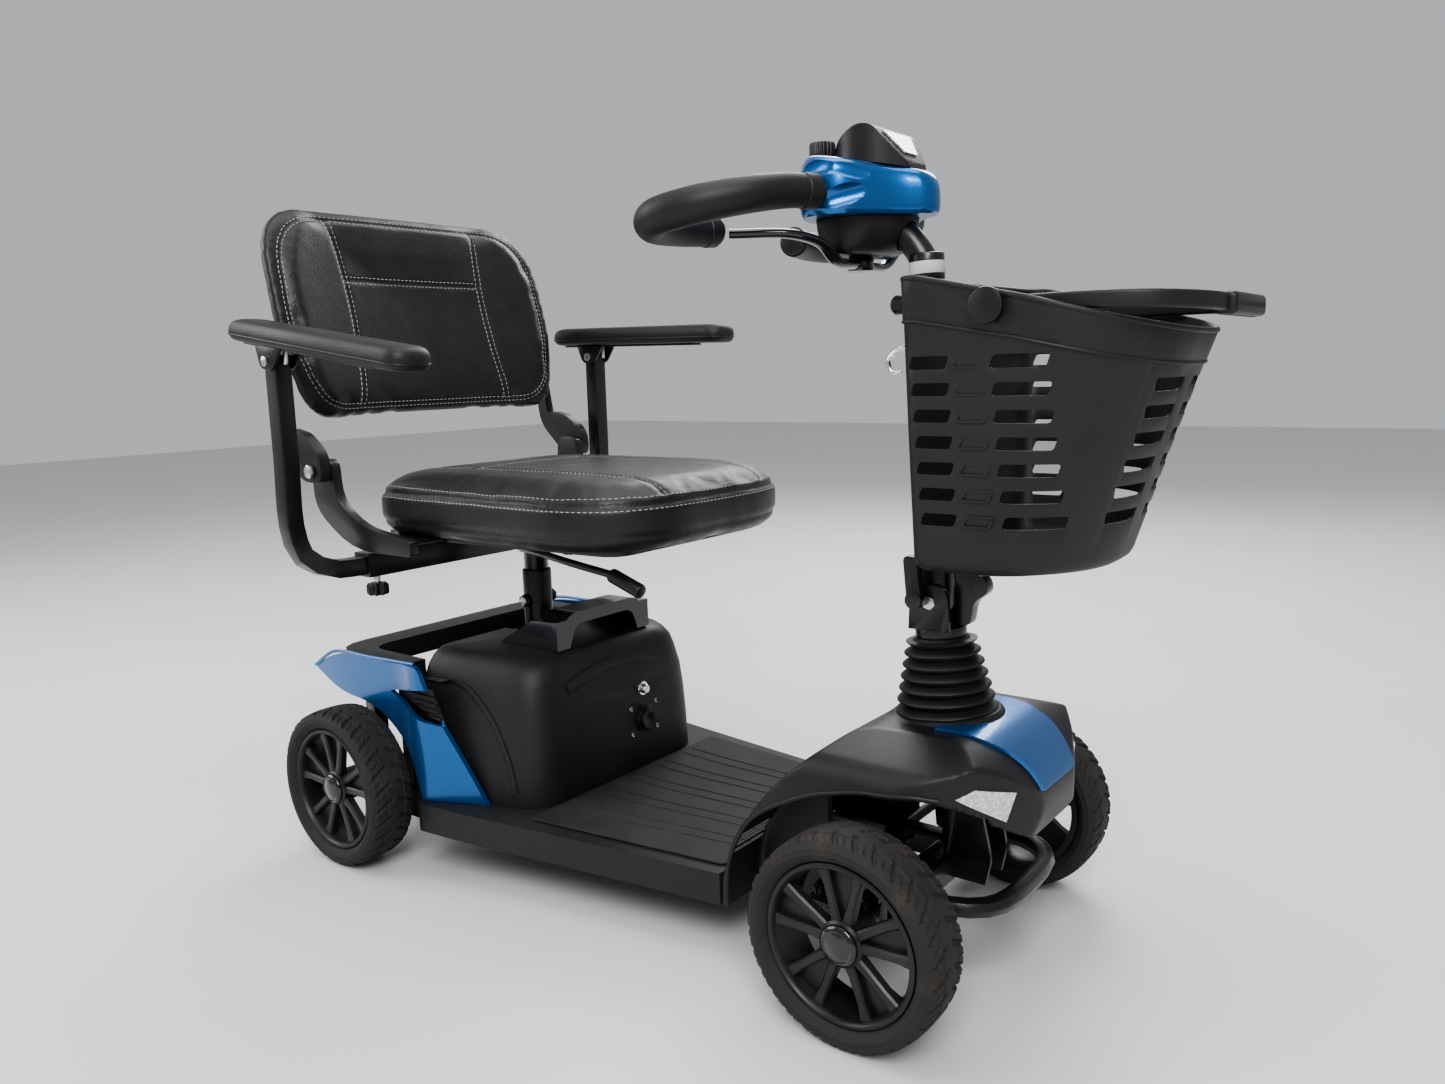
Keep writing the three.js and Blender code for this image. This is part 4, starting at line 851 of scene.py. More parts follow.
back = loft(
    "back_pad",
    [
        *face_rings(5, 60)[::-1],
        *[back_ring(d, i) for d, i in ((6, 24), (9, 12), (15, 4), (24, 3), (32, 6), (36, 16), (38, 40))],
        *face_rings(39, 62),
    ],
    HIDE,
)
plump(back, cap=6)
for v in back.data.vertices:
    v.co.x = max(v.co.x, at(pad_x(v.co.y * 1000, v.co.z * 1000, 4), 0, 0).x)
FACE = (-1, 0, 0)


def on_face(points, o=back):
    return laid(o, [Vector((back_x(y, z) + 60, y, z)) for y, z in points], towards=FACE)


def face_loop(inset):
    ring = outline(
        [
            (-BACK_HALF + 26 + inset, BACK_LOW + inset, 40),
            (BACK_HALF - 26 - inset, BACK_LOW + inset, 40),
            (BACK_HALF - inset, 660, 120),
            (BACK_HALF - 8 - inset, BACK_HIGH - inset, 130),
            (-BACK_HALF + 8 + inset, BACK_HIGH - inset, 130),
            (-BACK_HALF + inset, 660, 120),
        ],
        14,
    )
    line = even([Vector((0, p[0], p[1])) for p in ring], 360, closed=True)
    return [(p.y, p.z) for p in line + [line[0]]]


edge = on_face(face_loop(22))
crease(back, edge, 1.8, 6)
panel_lines = []
for s in (-1, 1):
    panel_lines.append(
        [(s * (126 - 14 * math.sin((z - 560) / 290 * math.pi)), z) for z in range(576, 816, 4)]
    )
panel_lines.append([(y, 738) for y in range(-108, 110, 4)])
for pts in panel_lines:
    crease(back, on_face(pts), 1.8, 7)
place(back, "backrest_cushion")
place(
    stitches("back_edge_stitch", on_face(face_loop(22)), back, rows=(-3.4, 3.4)), body="back",
    slot="leatherette"
)
for i, pts in enumerate(panel_lines):
    place(
        stitches(f"back_panel_stitch_{i}", on_face(pts), back, rows=(-4.4, 4.4)), body="back",
        slot="leatherette"
    )
back_shell = loft(
    "back_shell",
    [*face_rings(0.4, 34)[::-1], back_ring(0.8, 26), back_ring(3, 20), back_ring(7, 18), *face_rings(9, 40)],
    COARSE,
)
place(back_shell, body="back", slot="black_plastic")
for i, (y, z) in enumerate(((-150, 590), (150, 590), (-150, 790), (150, 790), (0, 590), (0, 800))):
    cap = turned(
        f"back_screw_{i}", [(0.001, -2), (5, -2), (5, 0.8), (4, 1.8), (0.001, 2.1)], (-1, 0, -0.2),
        (pad_x(y, z, 0.6), y, z), ZINC, 24
    )
    place(cap, body="back", slot="zinc")

# ---------------------------------------------------------------- deck, mat
keep("deck_tray", 2.5, 3, COARSE)
mat_plan = outline(mirrored([(-184, 140, 10), (-300, 154, 40), (-446, 172, 10)]), 8)
mat = prism("floor_mat_pad", [Vector(p) for p in mat_plan], "z", 95.4, 98.2, FLOOR_MAT)
bevel(mat, 1.0)
place(mat, "deck_mat")
for k in range(-2, 3):
    ribs = []
    for i in range(2):
        y = k * 56 + (i - 0.5) * 20
        pts = [
            (x, y * (1 - (x + 440) / 1400) + 5 * math.sin((x + 300) / 60), 98.3)
            for x in range(-436, -190, 12)
        ]
        ribs.append(
            sweep(f"rib_{i}", pts, [(-2, 0), (-1.2, 0.7), (1.2, 0.7), (2, 0)], FLOOR_MAT, 30, (0, 1, 0))
        )
    place(joined(f"floor_mat_rib_{k + 2}", ribs), body="chassis", slot="deck_rubber")

# ---------------------------------------------------------------- front shroud
BONNET = 262.0


def shroud_solid(name, inset, material):
    side = outline(
        [
            (-178 + inset, 60 - inset),
            (-175 + inset, 98),
            (-150 + inset, 156, 40),
            (-108 + inset, 210 - inset, 50),
            (-58, BONNET - 8 - inset, 34),
            (-40, BONNET - 4 - inset, 12),
            (56, BONNET - 2 - inset, 24),
            (98 - inset, 241 - inset, 24),
            (121 - inset, 204, 20),
            (112 - inset, 166, 14),
            (91 - inset, 131 - inset),
            (-120, 60 - inset),
        ],
        10,
    )
    front = outline(
        [
            (-157 + inset, 40),
            (-157 + inset, 205, 18),
            (-148 + inset, 238 - inset, 30),
            (-92, 255 - inset, 44),
            (-58, BONNET + 4 - inset, 24),
            (58, BONNET + 4 - inset, 24),
            (92, 255 - inset, 44),
            (148 - inset, 238 - inset, 30),
            (157 - inset, 205, 18),
            (157 - inset, 40),
        ],
        10,
    )
    plan = outline(
        mirrored(
            [
                (-178, -157 + inset),
                (-60, -159 + inset, 60),
                (22, -154 + inset, 60),
                (72 - inset, -130 + inset, 50),
                (106 - inset, -72, 40),
                (124 - inset, -24, 40),
            ]
        ),
        10,
    )
    body = prism(name, side, "y", -170, 170, material)
    a = prism("a", front, "x", -200, 140, material)
    b = prism("b", plan, "z", 20, 300, material)
    return boolean(body, [a, b], "INTERSECT")


def box(name, x0, x1, y0, y1, z0, z1, material=None):
    return prism(
        name, [Vector((x0, y0)), Vector((x1, y0)), Vector((x1, y1)), Vector((x0, y1))], "z", z0, z1, material
    )


ARCH = outline(
    [
        (-170, 40), (-168, 118, 34), (-138, 168, 44), (-70, 205, 44), (0, 220, 44), (56, 219, 34), (104, 187),
        (180, 170), (180, 40)
    ],
    10,
)
shroud = shroud_solid("front_bodywork", 0, MOULDED)
rake = math.radians(5)
axis = Vector((-math.sin(rake), 0, math.cos(rake)))
foot = Vector((-1, 0, BONNET))


def up_column(d):
    return foot + axis * d


collar_ring = turned("t", [(0.001, -24), (56, -24), (56, -1.5), (54, 0), (0.001, 0)], axis, foot, MOULDED, 72)
shroud = boolean(shroud, [collar_ring], "UNION")
hollow = shroud_solid("h", 5, MOULDED)
hollow = boolean(hollow, [box("c", -300, 300, -93, 93, 0, 400)], "INTERSECT")
nose = outline([(-99, 192), (-52, 166, 16), (52, 166, 16), (99, 192), (99, 20), (-99, 20)], 6)
tools = [
    hollow,
    prism("t1", ARCH, "y", 98, 200, None),
    prism("t2", ARCH, "y", -200, -98, None),
    box("t3", -80, 62, -99, 99, 20, 205),
    boolean(shroud_solid("t7", 4.5, MOULDED), [box("b7", 50, 140, -140, 140, 20, 205)], "INTERSECT"),
    box("t4", -200, -100, -84, 84, 20, 90),
    prism("t5", nose, "x", -80, 200, None),
    rod("t6", up_column(-60), up_column(10), 26, None, 48),
]
for t in tools:
    shroud = boolean(shroud, [t])
moulded(shroud, 2.6, 5)
place(shroud, "front_shroud")

bonnet_plan = outline(mirrored([(16, -66, 6), (70, -62, 30), (128, -36, 16)]), 10)
bonnet = shroud_solid("bonnet_skin", -3, PAINT)
bonnet = boolean(bonnet, [prism("p", bonnet_plan, "z", 212, 300, PAINT)], "INTERSECT")
bonnet = boolean(bonnet, [shroud_solid("q", -0.3, PAINT)])
bonnet = boolean(bonnet, [rod("r", up_column(-60), up_column(40), 57.5, PAINT, 64)])
bevel(bonnet, 0.8, 2, 40)
place(bonnet, "bonnet_panel")

skin = tree(shroud)


def patch(name, corners, direction, thick, material, body, slot, grid=14, lift=0.2):
    """A thin plate that follows the bodywork, with its outline set by four corners."""
    d = Vector(direction).normalized()
    a, b, c, e = (Vector(p) for p in corners)
    verts, faces, normals = [], [], []
    for i in range(grid + 1):
        for j in range(grid + 1):
            u, v = i / grid, j / grid
            p = a.lerp(b, u).lerp(e.lerp(c, u), v)
            hit, normal, _, _ = skin.ray_cast(at(*p) - d * 0.25, d)
            if hit is None:
                return None
            verts.append(hit + normal * lift / 1000)
            normals.append(normal)
    n = grid + 1
    top = [v + m * thick / 1000 for v, m in zip(verts, normals)]
    for i in range(grid):
        for j in range(grid):
            q = (i * n + j, (i + 1) * n + j, (i + 1) * n + j + 1, i * n + j + 1)
            faces.append(q)
            faces.append(tuple(k + n * n for k in reversed(q)))
    edge_loop = [i * n for i in range(n)] + [(n - 1) * n + j for j in range(1, n)]
    edge_loop += [i * n + n - 1 for i in range(n - 2, -1, -1)] + [j for j in range(n - 2, 0, -1)]
    for k, q in enumerate(edge_loop):
        r = edge_loop[(k + 1) % len(edge_loop)]
        faces.append((q, r, r + n * n, q + n * n))
    mesh = bpy.data.meshes.new(name)
    mesh.from_pydata([tuple(v) for v in verts + top], [], faces)
    bm = bmesh.new()
    bm.from_mesh(mesh)
    bmesh.ops.recalc_face_normals(bm, faces=bm.faces)
    bm.to_mesh(mesh)
    bm.free()
    mesh.materials.append(material)
    o = linked(name, mesh)
    soften(o)
    return place(o, body=body, slot=slot)


for side, s in SIDES:
    corners = [(72, s * 131, 222), (82, s * 114, 229), (104.5, s * 75, 219), (99, s * 85, 193)]
    patch(f"front_reflector_{side}", corners, (-0.62, -s * 0.78, 0), 1.6, LENS, "chassis", "black_plastic")
    lip = [
        (x, s * 158.4, z)
        for x, z in [(-167, 62), (-165, 116), (-137, 165), (-70, 202), (0, 216.5), (70, 220)]
    ]
    arch = laid(shroud, spline(lip, 60))
    pts = [in_mm(p) for p, _ in arch]
    if len(pts) > 8:
        lip_o = sweep(f"arch_lip_{side}", pts[::5], circle(2.6, 10), MOULDED, 60)
        place(lip_o, body="chassis", slot="black_plastic")

# ---------------------------------------------------------------- tail: fenders, hoop, drive
FENDER = outline(
    [
        (-834, 229, 6), (-780, 256, 34), (-600, 263, 8), (-584, 215, 34), (-520, 95.6),
        (-604, 95.6), (-622, 150, 34), (-690, 200, 54), (-772, 205, 34),
    ],
    10,
)
LINE = [(-840, 190, 0), (-764, 197, 60), (-640, 197, 20), (-604, 206, 20), (-545, 181, 20), (-500, 167, 0)]
for side, s in SIDES:
    inner = [(x, s * (y - 6), r) for x, y, r in LINE][::-1]
    plan = outline([(x, s * y, r) for x, y, r in LINE] + inner, 10)
    wing = prism(f"fender_skin_{side}", FENDER, "y", s * 140, s * 214, PAINT)
    wing = boolean(wing, [prism("p", plan, "z", 90, 280, PAINT)], "INTERSECT")
    vent = outline([(-664, 224, 6), (-590, 236, 6), (-566, 190, 6), (-600, 196, 10)], 6)
    wing = boolean(wing, [prism("v", vent, "y", s * 188, s * 215, PAINT)])
    bevel(wing, 1.2, 3, 40)
    place(wing, f"fender_{side}")
    slats = []
    for k in range(4):
        z = 200 + k * 8
        x0, x1 = -600 - k * 13, -576 - k * 3
        bar = outline([(x0, z - 2), (x1, z - 3), (x1, z), (x0, z + 1)], 2)
        slats.append(prism(f"slat{k}", bar, "y", s * 187, s * 190.5, COARSE))
    inset = outline([(-660, 222), (-592, 233), (-570, 193), (-600, 198)], 2)
    slats.append(prism("inset", inset, "y", s * 185.5, s * 187.6, COARSE))
    place(joined(f"fender_vent_{side}", slats), body="chassis", slot="black_plastic")
    trim = [(-832, s * 191.8, 231), (-780, s * 195.5, 257), (-700, s * 197.4, 261), (-610, s * 198, 264.2)]
    strip = sweep(f"fender_edge_{side}", trim, circle(2.2, 10), PAINT, 40)
    place(strip, body="chassis", slot="blue_body")

keep("rear_hoop", 5, 4, COARSE)
keep("front_frame", 1.5, 2)
keep("rear_frame", 1.5, 2)
keep("transaxle", 2, 3)
keep("drive_motor", 1.5, 2)
keep("motor_controller", 1, 2)
for side, _ in SIDES:
    keep(f"half_shaft_{side}", 0.6, 2)
    keep(f"knuckle_{side}", 1.2, 2)
keep("tie_rod", 0.8, 2)

# ---------------------------------------------------------------- battery box
BOX_FRONT, BOX_LENGTH = -452.0, 193.0
LEVELS = [
    (95.4, 0, 188, 152), (140, 1, 184.5, 150.6), (180, 3, 180, 149), (212, 5.6, 173, 146.2),
    (238, 10, 164, 141),
    (252, 13, 158.5, 136.5), (262, 18, 152, 130), (267.5, 23.5, 147, 124), (270.8, 29, 142, 118),
    (272, 34, 138, 112),
]


def box_ring(level, inset=0.0):
    z, back_by, rear_half, front_half = LEVELS[level]
    draw = max(0, back_by - 10) * 0.4
    plan = outline(
        mirrored(
            [
                (BOX_FRONT - BOX_LENGTH + draw + inset, -rear_half + inset, 18),
                (BOX_FRONT - back_by - inset, -front_half + inset, 48),
            ]
        ),
        14,
    )
    return [(p[0], p[1], z) for p in plan]


case = loft("battery_cover", [box_ring(i) for i in range(len(LEVELS))], COARSE)
notch = box("n", -700, -571, -28, 28, 60, 400)
case = boolean(case, [notch])
hole = rod("bh", (-480, 44, 198), (-440, 44, 198), 7.2, COARSE, 40)
case = boolean(case, [hole])
shell_in = loft(
    "si", [[(x, y, z - (3 if k else 30)) for x, y, z in box_ring(i, 4)] for k, i in enumerate((0, 4, 9))],
    COARSE
)
shell_in = boolean(shell_in, [box("m", -700, -567, -32, 32, 0, 400)])
case = boolean(case, [shell_in])
bevel(case, 2.2, 3, 50)
ring_boss = turned(
    "port_boss", [(8, -10), (16, -10), (16, 6.2), (15, 7), (8, 7)], (1, 0, 0), (-456, 42, 158), MOULDED, 48
)
case = joined("battery_box_cover", [case, ring_boss])
place(case, "battery_case")
skin = tree(case)
for i, (side, s) in enumerate(SIDES):
    pts = []
    for p in spline([(-634, s * 0, 236), (-572, 0, 233), (-522, 0, 198), (-496, 0, 150), (-488, 0, 112)], 40):
        hit, normal, _, _ = skin.ray_cast(at(p.x, s * 260, p.z), Vector((0, -s, 0)))
        if hit:
            pts.append(((hit.x - FRONT_X) * 1000, hit.y * 1000 + s * 0.2, hit.z * 1000))
    if len(pts) > 10:
        ridge = sweep(
            f"box_ridge_{side}", pts[::4], [(-5, 0), (-2, 1.5), (2, 1.5), (5, 0), (0, -2)], COARSE, 50,
            (1, 0, 0)
        )
        place(ridge, body="battery_box", slot="black_plastic")
crescent = []
for y in range(-88, 89, 4):
    hit, normal, _, _ = skin.ray_cast(at(-380, y, 226 + 16 * math.cos(y / 60)), Vector((-1, 0, 0)))
    if hit:
        crescent.append(((hit.x - FRONT_X) * 1000 + 0.3, hit.y * 1000, hit.z * 1000))
if len(crescent) > 10:
    bar = sweep(
        "box_crescent", crescent[::4], [(-9, 0), (-4, 2.2), (4, 2.2), (9, 0), (0, -3)], COARSE, 60, (0, 0, 1)
    )
    place(bar, body="battery_box", slot="black_plastic")
cap_face = [(0.001, 0), (12.6, 0), (13, 0.5), (13, 2.6), (12, 3.5), (7, 3.5), (6, 2.9), (0.001, 2.9)]
cap = turned("port_cap_disc", cap_face, (1, 0, 0), (-448.5, 42, 158), GAITER, 48)
tab = box("tab", -448.6, -445.8, 37.5, 46.5, 168, 179, GAITER)
bevel(tab, 0.8)
place(joined("charge_cap", [cap, tab]), "charge_port_cap")
button = turned(
    "reset_cap", [(0.001, -12), (6, -12), (6, 7.6), (5, 9), (2.6, 9), (2.2, 8.5), (0.001, 8.5)], (1, 0, 0),
    (-458, 44, 198), ZINC, 36,
)
place(button, "breaker_button")
collar = turned(
    "button_collar", [(6.6, 0), (9.4, 0), (9.4, 1.6), (8.6, 2.4), (6.6, 2.4)], (1, 0, 0), (-457.6, 44, 198),
    CHROME, 36
)
place(collar, body="battery_box", slot="zinc")
for y, z in ((18, 176), (66, 176), (18, 142), (66, 142)):
    hit, normal, _, _ = skin.ray_cast(at(-380, y, z), Vector((-1, 0, 0)))
    x = (hit.x - FRONT_X) * 1000 if hit else -458
    screw = turned(
        f"box_screw_{y}_{z}", [(1.2, -1), (3.2, -1), (3.2, 0.6), (2.4, 1.3), (1.2, 0.7)], (1, 0, 0),
        (x, y, z), ZINC, 20
    )
    place(screw, body="battery_box", slot="zinc")
keep("battery_tray", 0.6, 1)
keep("battery_right", 2, 2)
keep("battery_left", 2, 2)

HY, H0, RISE = 84.0, 272.5, 316.0
arch = outline(
    [
        (-HY, H0), (-HY + 16, RISE, 40), (HY - 16, RISE, 40), (HY, H0), (HY - 22, H0),
        (HY - 32, RISE - 15, 26),
        (-HY + 32, RISE - 15, 26), (-HY + 22, H0),
    ],
    12,
)
bar = prism("carry_bar", arch, "x", -518, -478, GLOSS)
wedge = outline([(-582, H0), (-478, H0), (-478, H0 + 36), (-522, H0 + 34)], 2)
feet = [prism("f", wedge, "y", s * (HY - 20), s * HY, GLOSS) for s in (-1, 1)]
handle = boolean(bar, feet, "UNION")
bevel(handle, 3.2, 4, 35)
place(handle, "battery_handle")

# ---------------------------------------------------------------- steering, bellows, tiller
pleats = []
count = 6
for i in range(count * 12 + 1):
    t = i / (count * 12)
    wave = 0.5 + 0.5 * math.cos(2 * math.pi * t * count)
    pleats.append((44 + (28 - 44) * t + 8.0 * wave ** 0.7, 0.6 + 71 * t))
inside = [(r - 2.4, h) for r, h in pleats][::-1]
profile = pleats + [(29, 72.4), (26.4, 75), (14.6, 75), (14.6, 71)] + inside[6:]
place(turned("bellows_skin", profile, axis, foot, GAITER, 96), "steering_bellows")
keep("steering_column", 1.2, 3)
keep("cam_lever", 1.6, 3)
keep("fold_latch", 1.4, 3)
keep("seat_post", 1, 2)
keep("seat_pan", 1.5, 3)
PIVOT = up_column(112)
for side, s in SIDES:
    nut = rod(
        f"pivot_nut_{side}", (PIVOT.x, s * 22.8, PIVOT.z),
        (PIVOT.x, s * 22.8 + s * (0.3 if s < 0 else 5), PIVOT.z), 7, ZINC, 6
    )
    place(nut, body="steering", slot="zinc")
TUBE = [(PIVOT.x, 0, PIVOT.z + 20), (-17, 0, 500), (-24, 0, 690), (-27, 0, 706), (-44, 0, 730), (-66, 0, 744)]
tube = sweep("tiller_skin", TUBE, circle(13.5, 48), STEEL, 90)
clamp = rod("clamp_ring", (-24, 0, 688), (-25, 0, 714), 17, STEEL, 48, 1.6)
band = rod("ring_band", (-24.2, 0, 694), (-24.8, 0, 706), 17.4, LABEL, 48, 0.6)
footing = outline(
    [
        (PIVOT.x - 15, PIVOT.z - 13, 9), (PIVOT.x + 15, PIVOT.z - 13, 9), (PIVOT.x + 14, PIVOT.z + 34),
        (PIVOT.x - 14, PIVOT.z + 34)
    ],
    8
)
block = prism("pivot_block", footing, "y", -15.8, 15.8, STEEL)
block = boolean(block, [rod("pb", (PIVOT.x, -40, PIVOT.z), (PIVOT.x, 40, PIVOT.z), 5.5, STEEL)])
bevel(block, 1.4)
arm = box("bracket_arm", -22, 13, -10, 10, 596, 622, STEEL)
plate = box("bracket_plate", 12, 17, -36, 36, 556, 652, STEEL)
bevel(arm, 1.5)
bevel(plate, 1.6, 3)
place(joined("tiller_assembly", [tube, clamp, band, block, arm, plate]), "tiller_tube")
hook = sweep(
    "bag_hook", [(-36, 0, 626), (-54, 0, 624), (-67, 0, 612), (-62, 0, 600), (-52, 0, 602)], circle(2.6, 14),
    CHROME, 40
)
place(hook, body="tiller", slot="zinc")
knob = turned(
    "lock_knob", [(0.001, 0), (5, 0), (5, 10), (9, 12), (9.6, 22), (7, 25), (0.001, 25.6)], (-1, 0, 0.04),
    (-36, 0, 666), MOULDED, 32
)
place(knob, body="tiller", slot="black_plastic")
pin = rod("catch_pin", (8, -9, 430), (-17, -9, 430), 4, ZINC, 20)
place(pin, body="tiller", slot="zinc")

# ---------------------------------------------------------------- head
HEAD_Z = 750.0


def head_top(x):
    return HEAD_Z + 60 - 0.2 * (x + 118)


def head_plan(shrink):
    return outline(
        mirrored(
            [
                (-140 + shrink, -45.1, 26),
                (-118 + shrink * 0.5, -82 + shrink, 30),
                (-76, -82 + shrink, 34),
                (-45 - shrink, -34.4, 30),
                (-13 - shrink, -11.5, 12),
            ]
        ),
        14,
    )


levels = [
    (0, 4), (0.05, 1.6), (0.14, 0.4), (0.3, 0), (0.55, 0.3), (0.7, 1.3), (0.82, 3.4), (0.91, 6.6),
    (0.97, 10.5), (1, 15)
]
rings = [
    [(p[0], p[1], HEAD_Z + 0.4 + t * (head_top(p[0]) - HEAD_Z - 0.4)) for p in head_plan(k)]
    for t, k in levels
]
head = loft("head_shell", rings, PAINT)
for s in (-1, 1):
    scoop = sweep(
        f"s{s}", [(-128, s * 90, 786), (-104, s * 89, 796), (-78, s * 88, 797), (-48, s * 62, 789)],
        circle(15, 32), PAINT, 40
    )
    head = boolean(head, [scoop])
    low_scoop = sweep(
        f"l{s}", [(-120, s * 96, 756), (-84, s * 92, 762), (-50, s * 66, 772), (-20, s * 36, 782)],
        circle(14, 32), PAINT, 40
    )
    head = boolean(head, [low_scoop])
head = boolean(head, [rod("c", (-66, 0, 720), (-66, 0, 768), 19, PAINT, 32)])
bevel(head, 1.2, 3, 30)
place(head, "head_upper")
rings = []
for t, draw, front in ((0, 0, 0), (0.3, 1.2, 2), (0.6, 4, 6), (0.82, 8.5, 11), (0.94, 13, 16), (1, 18, 20)):
    plan = outline(
        mirrored(
            [
                (-128 + draw * 0.6, -32.4, 18), (-118 + draw, -54 + draw * 0.5, 24),
                (-71 - front, -54 + draw * 0.6, 24), (-39 - front, -18, 16),
            ]
        ),
        12,
    )
    rings.append([(p[0], p[1], HEAD_Z - t * 33) for p in plan])
under = loft("head_base", rings, MOULDED)
under = boolean(under, [sweep("u", [*TUBE[2:], (-78, 0, 756)], circle(15, 24), MOULDED, 30)])
bevel(under, 1.0, 2, 40)
place(under, "head_lower")
cowl_side = outline(
    [
        (-120, head_top(-120) + 0.4), (-98, 826, 14), (-76, 836, 10), (-62, 834, 8), (-36, head_top(-36) + 6),
        (-34, head_top(-34) + 0.4)
    ],
    10
)
cowl_plan = outline(mirrored([(-124, -14, 10), (-92, -46, 24), (-58, -42, 16), (-32, -16, 10)]), 12)
cowl = prism("cowl_skin", cowl_side, "y", -60, 60, MOULDED)
cowl = boolean(cowl, [prism("cp", cowl_plan, "z", 780, 860, MOULDED)], "INTERSECT")
cowl = boolean(cowl, [rod("cd", (-126, -26, 780), (-126, -26, 840), 15, MOULDED, 40)])
bevel(cowl, 2.4, 4, 35)
place(cowl, "head_cowl")
skin = tree(cowl)
patch(
    "head_reflector", [(-57, -27, 830), (-57, 27, 830), (-40, 13, 812), (-40, -13, 812)], (-0.55, 0, -0.83),
    1.4, LENS, "tiller", "black_plastic"
)
dial_z = head_top(-126) + 1
ribs = 24
knurl = []
for h, k in ((0, 0.0), (0.6, 0.35), (11.5, 0.35), (14, 0.1)):
    ring = []
    for i in range(ribs * 6):
        a = 2 * math.pi * i / (ribs * 6)
        r = 12.2 + 0.8 * max(0, math.cos(a * ribs)) - (0.9 if h > 12 else 0)
        ring.append((-126 + r * math.cos(a), -26 + r * math.sin(a), dial_z + h))
    knurl.append(ring)
dial = joined(
    "dial_knob",
    [loft("k", knurl, MOULDED), rod("st", (-126, -26, dial_z - 14), (-126, -26, dial_z + 1), 3.4, ZINC)]
)
place(dial, "speed_dial")
mark = box("dial_mark", -127, -125, -36, -28, dial_z + 14, dial_z + 14.5, THREAD)
place(mark, body="speed_dial", slot="black_plastic")
keep("ignition_key", 0.5, 2)
barrel = turned(
    "key_barrel", [(6.6, -1), (9, -1), (9, 1.4), (8, 2.2), (6.6, 2.2)], (-1, 0, 0), (-140, 24, 778), CHROME,
    36
)
place(barrel, body="tiller", slot="zinc")


def grip_size(t):
    collar = 0.05 if t < 0.05 or t > 0.96 else 0
    return 0.92 + 0.10 * math.sin(math.pi * t) + collar


for side, s in SIDES:
    path = [
        (-96, s * 88, 771), (-108, s * 118, 770), (-128, s * 158, 764), (-162, s * 188, 756),
        (-200, s * 193, 750), (-230, s * 166, 747), (-238, s * 120, 747), (-228, s * 74, 748),
    ]
    grip = sweep(f"grip_sleeve_{side}", path, circle(17, 28), GAITER, 300, (0, 0, 1), grip_size)
    core = rod("core", (-96, s * 60, 771), (-96, s * 90, 771), 9, STEEL, 32)
    stop = rod("stop", (-228.4, s * 77, 748), (-226.8, s * 69, 748), 14.5, MOULDED, 36, 2.4)
    place(joined(f"grip_{side}_sleeve", [grip, core, stop]), f"grip_{side}")

hub = rod("lever_hub", (-98, 0, 702), (-98, 0, 716.6), 13, GLOSS, 40, 2)
wings = []
for s in (-1, 1):
    path = [
        (-98, 0, 709), (-98, s * 44, 709), (-100, s * 72, 725), (-116, s * 100, 733), (-164, s * 132, 735)
    ]
    wings.append(
        sweep(
            f"w{s}", path, [Vector((p[0] * 0.75, p[1] * 1.2)) for p in circle(6.2, 20)], GLOSS, 60, (0, 0, 1)
        )
    )
place(joined("wig_wag", [hub, *wings]), "throttle_lever")

# ---------------------------------------------------------------- basket
B_REAR, B_DEPTH, B_HALF, B_LOW, B_HIGH = 21.0, 214.0, 146.0, 425.0, 680.0


def rim_z(x):
    return B_HIGH - max(0, x - 60) * 0.285


def basket_ring(t, inset, extra=0.0):
    front = B_REAR + B_DEPTH - 66 * (1 - t) - inset
    half = B_HALF - 22 * (1 - t) - inset
    plan = outline(
        mirrored([(B_REAR + inset, -half, 16), (front - 52, -half, 66), (front, -half * 0.42, 56)]), 12
    )
    return [(p[0], p[1], B_LOW + t * (rim_z(p[0]) - B_LOW) + extra) for p in plan]


basket = loft(
    "basket_wall",
    [
        basket_ring(t, i)
        for t, i in (
            (0, 13), (0.008, 6), (0.025, 1.8), (0.05, 0.4), (0.5, 0), (0.86, 0), (0.865, -0.8), (1, -0.8)
        )
    ],
    COARSE,
)
inner = loft(
    "basket_room",
    [
        basket_ring(t, i, e)
        for t, i, e in ((0.014, 16, 0), (0.03, 7, 0), (0.055, 3.2, 0), (0.5, 2.6, 0), (1, 2.6, 6))
    ],
    COARSE,
)
basket = boolean(basket, [inner])
cuts = []
for row in range(7):
    low = B_LOW + 44 + row * 22.5
    lean = row * 2.4
    for x0, x1 in ((34, 66), (108, 152)):
        para = [
            (x0 - lean * 0.4, low), (x1 - lean * 0.2, low), (x1 + 4 - lean * 0.2, low + 11),
            (x0 + 4 - lean * 0.4, low + 11)
        ]
        cuts.append(prism("c", outline([(u, v, 3) for u, v in para], 4), "y", -300, 300, COARSE))
    if row < 6:
        for s in (-1, 1):
            para = [(s * 12, low, 3), (s * 60, low, 3), (s * 63, low + 11, 3), (s * 12, low + 11, 3)]
            cuts.append(prism("c", outline(para, 4), "x", 140, 400, COARSE))
cuts.append(rod("ph", (103, -300, 654), (103, 300, 654), 8.5, COARSE, 32))
cutter = joined("basket_cuts", cuts)
basket = boolean(basket, [cutter])
bevel(basket, 0.7, 2, 40)
blind = []
